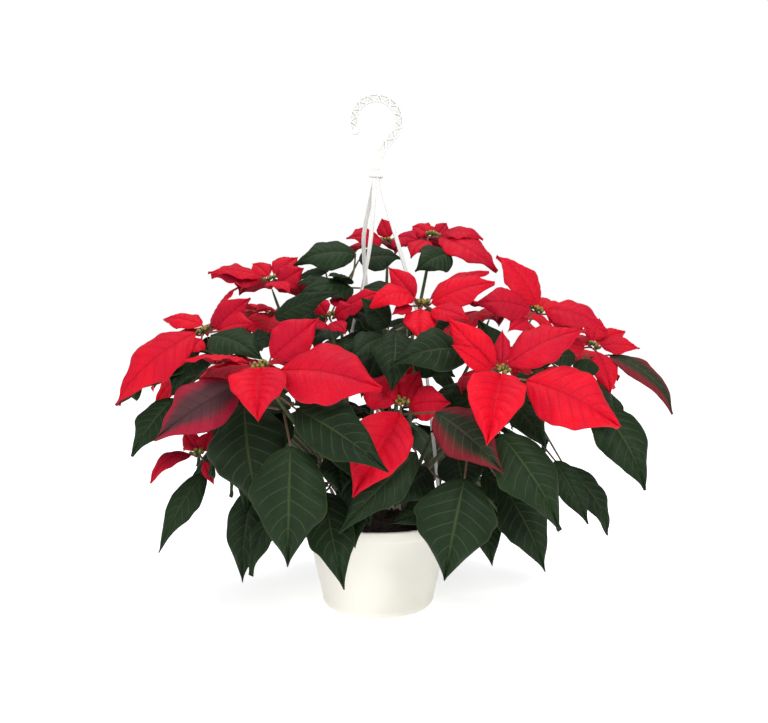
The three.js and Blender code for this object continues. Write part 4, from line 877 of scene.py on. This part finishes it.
# ---------------------------------------------------------------- flowers, stems, soil
@dataclass
class Flowers:
    """The small true flowers in the middle of every bract head."""

    hubs: dict
    bud_length: float = 6.5 * MM
    bud_radius: float = 2.3 * MM

    def build(self) -> None:
        """Builds one cluster on each hub."""
        bm = bmesh.new()
        rise = bm.verts.layers.float.new("rise")
        for node, hub in sorted(self.hubs.items()):
            rng = random.Random(node)
            up = Vector((hub[0] * 2.2, hub[1] * 2.2, 1.0)).normalized()
            for k in range(9):
                self._bud(bm, rise, Vector(hub), up, k, rng)
        bmesh.ops.recalc_face_normals(bm, faces=bm.faces)
        new_piece("cyathia", bm, [BudFinish().make()])

    def _bud(self, bm: bmesh.types.BMesh, rise: object, hub: Vector, up: Vector, k: int,
             rng: random.Random) -> None:
        """Adds one bud.

        Args:
            bm: The mesh to add to.
            rise: The layer of heights.
            hub: The head's middle.
            up: The head's axis.
            k: The bud's number in its cluster.
            rng: Random draws.
        """
        turn = k * 2.4
        spread = 0.0 if k == 0 else math.sqrt(k) * 2.1 * MM
        lean = up.to_track_quat("Z", "Y")
        offset = lean @ Vector((spread * math.cos(turn), spread * math.sin(turn), 0.0))
        aim = (up * 9 * MM + offset * 1.4).normalized()
        size = rng.uniform(0.75, 1.15)
        frame_of_bud = aim.to_track_quat("Z", "Y").to_matrix().to_4x4()
        frame_of_bud.translation = hub + up * 2.5 * MM + offset
        made = bmesh.ops.create_uvsphere(bm, u_segments=10, v_segments=8, radius=1.0)
        for vert in made["verts"]:
            height = (vert.co.z + 1) / 2
            waist = 1.0 - 0.35 * smooth(0.55, 1.0, np.array(height)) + 0.12 * math.sin(9 * height)
            vert[rise] = height
            vert.co.x *= self.bud_radius * size * float(waist)
            vert.co.y *= self.bud_radius * size * float(waist)
            vert.co.z = height * self.bud_length * size
        bmesh.ops.transform(bm, verts=made["verts"], matrix=frame_of_bud)


@dataclass
class Stems:
    """The branching stems of the plants, smoothed from their CAD bodies."""

    def build(self) -> None:
        """Builds one piece for each plant."""
        bark = StemFinish("bark", (0.05, 0.075, 0.02), (0.075, 0.05, 0.03), 0.12, 0.34).make()
        for node in sorted(n for n in frame["nodes"] if n.startswith("stems_")):
            bm = merged_copy(node)
            bmesh.ops.join_triangles(bm, faces=bm.faces, angle_face_threshold=0.6,
                                     angle_shape_threshold=0.9)
            bmesh.ops.recalc_face_normals(bm, faces=bm.faces)
            piece = new_piece(f"{node}_bark", bm, [bark])
            add_modifier(piece, "SUBSURF", levels=2, render_levels=2)
            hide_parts(node)


@dataclass
class Soil:
    """The crumbly surface of the peat, with loose crumbs."""

    crumbs: int = 420
    seed: int = 5

    def build(self) -> None:
        """Builds the bed and its crumbs."""
        low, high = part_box("soil")
        radius = (high.x - low.x) / 2
        top = high.z
        rng = random.Random(self.seed)
        bed = spun([(0.0, low.z), (radius * 0.68, low.z), (radius * 0.8, low.z + 12 * MM),
                    (radius * 0.985, top - 6 * MM), (radius * 0.99, top - 4.5 * MM),
                    (radius * 0.6, top - 3 * MM), (0.0, top - 2 * MM)], 48)
        upper = [f for f in bed.faces if f.calc_center_median().z > top - 8 * MM]
        edges = list({e for f in upper for e in f.edges})
        bmesh.ops.subdivide_edges(bed, edges=edges, cuts=5, use_grid_fill=True)
        for vert in bed.verts:
            if vert.co.z > top - 6.5 * MM and vert.co.xy.length < radius * 0.97:
                vert.co.z += rng.uniform(-1.6, 1.9) * MM
        bmesh.ops.recalc_face_normals(bed, faces=bed.faces)
        finish = SoilFinish().make()
        piece = new_piece("soil_bed", bed, [finish])
        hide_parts("soil")
        loose = bmesh.new()
        for _ in range(self.crumbs):
            turn = rng.uniform(0, 2 * math.pi)
            out = radius * 0.95 * math.sqrt(rng.random())
            size = rng.uniform(0.8, 2.6) * MM
            place = Matrix.Translation((out * math.cos(turn), out * math.sin(turn), top - 2.5 * MM))
            made = bmesh.ops.create_icosphere(loose, subdivisions=1, radius=size, matrix=place)
            for vert in made["verts"]:
                vert.co += Vector([rng.uniform(-0.35, 0.35) * size for _ in range(3)])
        new_piece("soil_crumbs", loose, [finish])


# ---------------------------------------------------------------- pot and hanger
@dataclass
class Pot:
    """The moulded pot, turned round its axis, with three drilled ears."""

    foot_flat: float = 58 * MM
    wall: float = 2.2 * MM
    band_height: float = 12 * MM
    ear_ring: float = 93 * MM
    ear_radius: float = 4.6 * MM
    ear_hole: float = 2.0 * MM
    ear_bottom: float = 100 * MM
    ear_top: float = 104 * MM
    ears: list = field(default_factory=list)

    def build(self) -> None:
        """Builds the pot from the CAD pot's height and its ears' places."""
        low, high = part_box("pot")
        top = high.z
        rim = self._rim_radius()
        bm = spun(self._profile(rim, top), 144)
        for angle in self.ears:
            self._ear(bm, angle)
        finish = PlasticFinish("pot_plastic", (0.93, 0.90, 0.82), (0.78, 0.73, 0.60), 0.30).make()
        piece = new_piece("pot_shell", bm, [finish])
        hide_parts("pot")

    @staticmethod
    def _rim_radius() -> float:
        """Largest distance of the CAD rim's top from the axis."""
        mesh = frame["nodes"]["pot"].data
        top = max(v.co.z for v in mesh.vertices)
        return max(v.co.xy.length for v in mesh.vertices if v.co.z > top - 0.1 * MM)

    def _profile(self, rim: float, top: float) -> list[tuple[float, float]]:
        """Outline from the foot's middle, up the outside, over the rim and down the inside.

        Args:
            rim: Radius of the rim band.
            top: Height of the rim.

        Returns:
            Points as radius and height.
        """
        corner, rise = 10 * MM, 13 * MM
        foot = [(self.foot_flat + corner * math.sin(a), rise * (1 - math.cos(a)))
                for a in np.linspace(0, math.pi / 2, 9)]
        neck = rim - 2.0 * MM
        under = top - self.band_height
        step_low, step_high = top * 0.27, top * 0.29
        lean = (neck - foot[-1][0]) / (under - rise)
        wall = lambda z: foot[-1][0] + lean * (z - rise)
        outside = [*foot, (wall(step_low), step_low), (wall(step_high) + 0.5 * MM, step_high),
                   (wall(top * 0.6) + 0.3 * MM, top * 0.6), (neck - 0.3 * MM, under - 1.2 * MM),
                   (neck, under - 0.4 * MM)]
        band = [(rim - 0.5 * MM, under), (rim, under + 0.5 * MM), (rim + 0.4 * MM, top - 2.2 * MM)]
        lip = [(rim + 0.4 * MM - 1.5 * MM * (1 - math.cos(a)), top - 1.5 * MM + 1.5 * MM * math.sin(a))
               for a in np.linspace(0, math.pi / 2, 5)]
        inner = rim - 1.6 * MM
        inside = [(inner + 0.2 * MM, top), (inner - 0.3 * MM, top - 0.8 * MM),
                  (neck - self.wall, under - 1 * MM)]
        well = [(r - self.wall * 0.9, z + self.wall * 0.8) for r, z in foot[::-1]]
        return [(0.0, 0.0), *outside, *band, *lip, *inside, *well, (0.0, self.wall)]

    def _ear(self, bm: bmesh.types.BMesh, angle: float) -> None:
        """Adds one drilled ear: a rounded ring with a web back to the rim.

        Args:
            bm: The pot's mesh.
            angle: Direction of the ear from the axis.
        """
        centre = Vector((self.ear_ring * math.cos(angle), self.ear_ring * math.sin(angle), 0))
        corners = [(self.ear_hole, self.ear_bottom), (self.ear_radius - 0.5 * MM, self.ear_bottom),
                   (self.ear_radius, self.ear_bottom + 0.5 * MM),
                   (self.ear_radius, self.ear_top - 0.5 * MM),
                   (self.ear_radius - 0.5 * MM, self.ear_top), (self.ear_hole, self.ear_top)]
        ring = bmesh.new()
        verts = [ring.verts.new((r, 0.0, z)) for r, z in corners]
        edges = [ring.edges.new((a, b)) for a, b in zip(verts, verts[1:] + verts[:1])]
        bmesh.ops.spin(ring, geom=[*verts, *edges], cent=(0, 0, 0), axis=(0, 0, 1),
                       angle=2 * math.pi, steps=28, use_merge=True)
        bmesh.ops.remove_doubles(ring, verts=ring.verts, dist=0.01 * MM)
        bmesh.ops.recalc_face_normals(ring, faces=ring.faces)
        bmesh.ops.translate(ring, verts=ring.verts, vec=centre)
        span = 4.0 * MM
        inner = self.ear_ring - self.ear_radius - 0.4 * MM
        place = Matrix.Rotation(angle, 4, "Z") @ Matrix.Translation(
            (inner + 0.2 * MM, 0, (self.ear_bottom + self.ear_top) / 2))
        size = Matrix.Diagonal((span, self.ear_radius * 1.7, (self.ear_top - self.ear_bottom) * 0.96, 1))
        web = bmesh.ops.create_cube(ring, size=1.0, matrix=place @ size)
        edges = list({e for v in web["verts"] for e in v.link_edges})
        bmesh.ops.bevel(ring, geom=edges, offset=0.35 * MM, segments=2, profile=0.5,
                        affect="EDGES", material=-1)
        loaned = bpy.data.meshes.new("ear")
        ring.to_mesh(loaned)
        ring.free()
        bm.from_mesh(loaned)
        bpy.data.meshes.remove(loaned)


@dataclass
class Hanger:
    """The lattice hook and the three straps."""

    strap_nodes: tuple[str, ...] = ("strap_front_left", "strap_front_right", "strap_back")

    def ear_angles(self) -> list[float]:
        """Direction of each strap's lower end from the pot's axis."""
        angles = []
        for node in self.strap_nodes:
            low_points = [v.co for v in frame["nodes"][node].data.vertices if v.co.z < 0.098]
            middle = sum(low_points, Vector()) / len(low_points)
            angles.append(math.atan2(middle.y, middle.x))
        return angles

    def build(self) -> None:
        """Builds the hook and straps as softened copies of their CAD bodies."""
        finish = PlasticFinish("hanger_plastic", (0.72, 0.715, 0.69), (0.55, 0.54, 0.50), 0.34).make()
        for node in ("hook", *self.strap_nodes):
            bm = merged_copy(node)
            if node == "hook":
                bmesh.ops.dissolve_limit(bm, angle_limit=math.radians(0.8), verts=bm.verts,
                                         edges=bm.edges)
            piece = new_piece(f"{node}_moulding", bm, [finish])
            add_modifier(piece, "BEVEL", width=0.45 * MM if node == "hook" else 0.3 * MM, segments=2,
                         limit_method="ANGLE", angle_limit=math.radians(38), harden_normals=False)
            for face in piece.data.polygons:
                face.use_smooth = False
            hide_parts(node)


# ---------------------------------------------------------------- studio
@dataclass
class Studio:
    """Pale floor, soft lights and the camera."""

    camera_place: tuple[float, float, float] = (0.007, -1.300, 0.420)
    pitch_down: float = 5.35
    lens: float = 50.8
    film: float = 36.0

    def build(self) -> None:
        """Builds the floor, the lights and the camera."""
        self._camera()
        self._floor()
        self._light("key", (0.9, -2.2, 1.9), 1.3, 50.0)
        self._light("fill", (-1.8, -1.5, 1.3), 1.8, 14.0)
        self._light("top", (-0.2, 0.3, 2.6), 1.6, 28.0)
        self._world()
        bpy.context.scene.view_settings.view_transform = "Standard"

    @staticmethod
    def _world() -> None:
        """A dim surround for the light, with a white backdrop behind the object."""
        world = bpy.data.worlds.new("studio")
        bpy.context.scene.world = world
        world.use_nodes = True
        tree = world.node_tree
        tree.nodes.clear()
        dim = tree.nodes.new("ShaderNodeBackground")
        dim.inputs["Color"].default_value = (0.95, 0.98, 1.0, 1.0)
        dim.inputs["Strength"].default_value = 0.46
        white = tree.nodes.new("ShaderNodeBackground")
        white.inputs["Color"].default_value = (1.0, 1.0, 1.0, 1.0)
        white.inputs["Strength"].default_value = 1.0
        path = tree.nodes.new("ShaderNodeLightPath")
        mixed = tree.nodes.new("ShaderNodeMixShader")
        tree.links.new(path.outputs["Is Camera Ray"], mixed.inputs[0])
        tree.links.new(dim.outputs[0], mixed.inputs[1])
        tree.links.new(white.outputs[0], mixed.inputs[2])
        end = tree.nodes.new("ShaderNodeOutputWorld")
        tree.links.new(mixed.outputs[0], end.inputs["Surface"])

    def _camera(self) -> None:
        """Adds the camera and makes it the scene's."""
        data = bpy.data.cameras.new("camera")
        data.lens = self.lens
        data.sensor_width = self.film
        data.sensor_fit = "HORIZONTAL"
        data.clip_start = 0.01
        camera = bpy.data.objects.new("camera", data)
        camera.location = self.camera_place
        camera.rotation_euler = (math.radians(90.0 - self.pitch_down), 0.0, 0.0)
        bpy.context.scene.collection.objects.link(camera)
        bpy.context.scene.camera = camera

    @staticmethod
    def _floor() -> None:
        """Adds the pale floor."""
        bm = bmesh.new()
        bmesh.ops.create_circle(bm, cap_ends=True, segments=96, radius=6.0)
        mesh = bpy.data.meshes.new("floor")
        bm.to_mesh(mesh)
        bm.free()
        g = Graph("pale_floor")
        cloud = g.noise(g.object_place(), 3.0, 2.0)
        pale = g.mix(cloud, (0.93, 0.93, 0.93), (0.96, 0.96, 0.96))
        seen = g.node("ShaderNodeLightPath", {}, {}, "Is Camera Ray")
        glow = {"Emission Color": g.mix(seen, (0.65, 0.65, 0.64), (1.0, 1.0, 1.0)),
                "Emission Strength": 0.56}
        mesh.materials.append(g.finish(pale, 0.9, constants=glow))
        floor = bpy.data.objects.new("floor", mesh)
        bpy.context.scene.collection.objects.link(floor)

    @staticmethod
    def _light(name: str, place: tuple[float, float, float], size: float, power: float) -> None:
        """Adds one soft disk light aimed at the foliage.

        Args:
            name: Its name.
            place: Where it stands.
            size: Its width in metres.
            power: Its power in watts.
        """
        data = bpy.data.lights.new(name, "AREA")
        data.shape = "DISK"
        data.size = size
        data.energy = power
        light = bpy.data.objects.new(name, data)
        light.location = place
        aim = Vector((0.0, 0.0, 0.28)) - Vector(place)
        light.rotation_euler = aim.to_track_quat("-Z", "Y").to_euler()
        bpy.context.scene.collection.objects.link(light)


def main() -> None:
    """Builds the whole part."""
    logging.basicConfig(level=logging.INFO, format="%(name)s %(message)s")
    Studio().build()
    hanger = Hanger()
    hanger.build()
    Pot(ears=hanger.ear_angles()).build()
    Soil().build()
    Stems().build()
    foliage = Foliage()
    foliage.build()
    Flowers(foliage.hubs).build()


if __name__ == "__main__":
    main()
